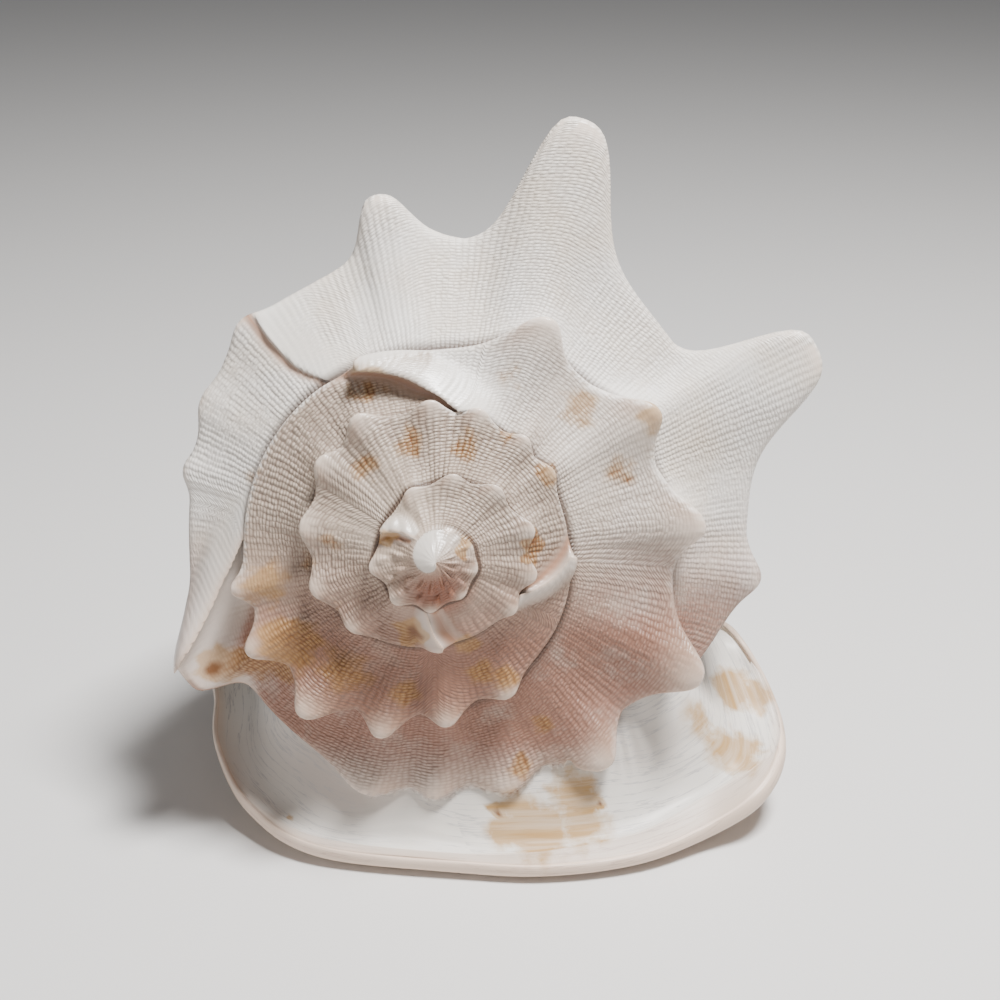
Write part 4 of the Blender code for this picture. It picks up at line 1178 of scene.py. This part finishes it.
# %% The stains and the dark lines of painted shade
RAGGED_EDGE = 1.5
GOLD_SHARE, STROKE_GOLD = 0.55, 0.35
BROWN_SHARE, EYE_SHARE, CREVICE_SHADE_SHARE = 0.95, 0.85, 0.88
uneven = times(maths("SUBTRACT", ragged, 0.5), RAGGED_EDGE)
stained = times(ramp_of(maths("ADD", stain_mark, uneven), 0.28, 0.58), ramp_of(stain_mark, 0.12, 0.4))
strokes = times(times(shield_mark, ramp_of(streaks, 0.35, 0.6)), STROKE_GOLD)
base = mix_colour(times(stained, maths("ADD", GOLD_SHARE, strokes)), base, GOLD)
base = mix_colour(times(stained, times(deep_pits, BROWN_SHARE)), base, BROWN)
base = mix_colour(times(ramp_of(stain_mark, 0.85, 1.3), EYE_SHARE), base, BROWN)
# Painted shade: dark lines in the crevices, hollows and cut faces
base = mix_colour(times(ramp_of(crevice_shade_mark, 0.3, 0.8), CREVICE_SHADE_SHARE), base, CREVICE_SHADE_COLOUR)
graph.links.new(base, surface.inputs["Base Color"])
print("the colour takes", len(graph.nodes), "nodes")

# %% [markdown]
# The net is also a bump, because each bead catches the light. It is lower on the young, white whorl. The
# polished places are smooth and glossy, and the chalky ones are dull.

# %% Relief and gloss
NET_HEIGHT, NET_STRENGTH, YOUNG_NET = 0.0006, 0.75, 0.6
LINE_HEIGHT, LINE_STRENGTH = 0.0005, 0.22
LINES_OFF_POLISH, LINES_ON_SHIELD = 0.7, 0.9
CHALK_ROUGHNESS, ENAMEL_ROUGHNESS, GLOSS_OFF_SHIELD = 0.5, 0.25, 0.7
SHELL_IOR = 1.5
lines = node("ShaderNodeBump")
smoothed = rest_of(times(polish_mark, LINES_OFF_POLISH))
line_amount = maths("MAXIMUM", smoothed, times(shield_mark, LINES_ON_SHIELD))
line_relief = times(fine_lines.outputs["Result"], line_amount)
feed(lines, Height=line_relief, Strength=LINE_STRENGTH, Distance=LINE_HEIGHT)
bump = node("ShaderNodeBump")
net_relief = times(beads, times(net_amount, at_least(YOUNG_NET, age_and_trough_shade_mark)))
feed(bump, Height=net_relief, Strength=NET_STRENGTH, Distance=NET_HEIGHT, Normal=lines.outputs["Normal"])
graph.links.new(bump.outputs["Normal"], surface.inputs["Normal"])
glossy = times(polish_mark, rest_of(times(shield_mark, GLOSS_OFF_SHIELD)))
gloss = node("ShaderNodeMapRange")
feed(gloss, Value=glossy, To_Min=CHALK_ROUGHNESS, To_Max=ENAMEL_ROUGHNESS)
graph.links.new(gloss.outputs["Result"], surface.inputs["Roughness"])
surface.inputs["IOR"].default_value = SHELL_IOR
print("roughness from", CHALK_ROUGHNESS, "to", ENAMEL_ROUGHNESS)

# %% [markdown]
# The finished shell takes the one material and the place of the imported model's shell.

# %% Hand over the shell
shell.data.materials.clear()
shell.data.materials.append(shell_material)
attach(shell, "root")
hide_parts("shell")
print(shell.name, "stands for the shell")

# %% [markdown]
# The studio is plain: a pale floor that is much wider than the picture, so that no edge of it shows.

# %% The floor
FLOOR_SIZE = 6.0
FLOOR_COLOUR, FLOOR_ROUGHNESS = (0.72, 0.70, 0.68, 1.0), 0.7
deselect_all()
bpy.ops.mesh.primitive_plane_add(size=FLOOR_SIZE)
floor = bpy.context.active_object
floor.name = "floor"
floor_material = bpy.data.materials.new("floor")
floor_material.use_nodes = True
floor_surface = floor_material.node_tree.nodes["Principled BSDF"]
floor_surface.inputs["Base Color"].default_value = FLOOR_COLOUR
floor_surface.inputs["Roughness"].default_value = FLOOR_ROUGHNESS
floor.data.materials.append(floor_material)
print("the floor is", FLOOR_SIZE, "metres wide")

# %% [markdown]
# One lamp above and a little to the right makes the shadows, a wide weak one at the left softens them, and
# an even sky fills the rest. More fill would hide the net.

# %% Light
# Place in metres, size in metres and power in watts
KEY = ((0.3, -0.25, 1.15), 0.3, 37.0)
FILL = ((-1.0, -0.9, 0.7), 1.0, 3.0)
AIMED_AT = (0.0, 0.0, 0.12)
SKY_COLOUR, SKY_STRENGTH = (0.85, 0.87, 0.9, 1.0), 0.16


def soft_lamp(name, place, size, power):
    """A square lamp that points at the shell's middle."""
    bpy.ops.object.light_add(type="AREA", location=place)
    lamp = bpy.context.active_object
    lamp.name = name
    lamp.data.size = size
    lamp.data.energy = power
    lamp.rotation_euler = (Vector(AIMED_AT) - Vector(place)).to_track_quat("-Z", "Y").to_euler()


soft_lamp("key", *KEY)
soft_lamp("fill", *FILL)
world = bpy.data.worlds.new("studio")
bpy.context.scene.world = world
world.use_nodes = True
sky = world.node_tree.nodes["Background"]
sky.inputs["Color"].default_value = SKY_COLOUR
sky.inputs["Strength"].default_value = SKY_STRENGTH
print("key and fill are", KEY[2], "and", FILL[2], "watts")

# %% [markdown]
# The camera stands in front of the spire and looks down at it. Its place is measured from the tip of the
# spire, which is the point of the picture that everything winds round.

# %% Camera
CAMERA_FROM_TIP = (0.021517, -0.518124, 0.252425)
LOOKING_DOWN = 24.0
SENSOR, LENS = 36.0, 62.64
bpy.ops.object.camera_add()
camera = bpy.context.active_object
tip = Vector((tip_place[0], tip_place[1], TIP_HEIGHT * MM))
camera.location = tip + Vector(CAMERA_FROM_TIP)
camera.rotation_euler = (math.radians(90.0 - LOOKING_DOWN), 0.0, 0.0)
camera.data.sensor_width = SENSOR
camera.data.lens = LENS
bpy.context.scene.camera = camera
print("the camera is", round((camera.location - tip).length, 3), "metres from the tip")
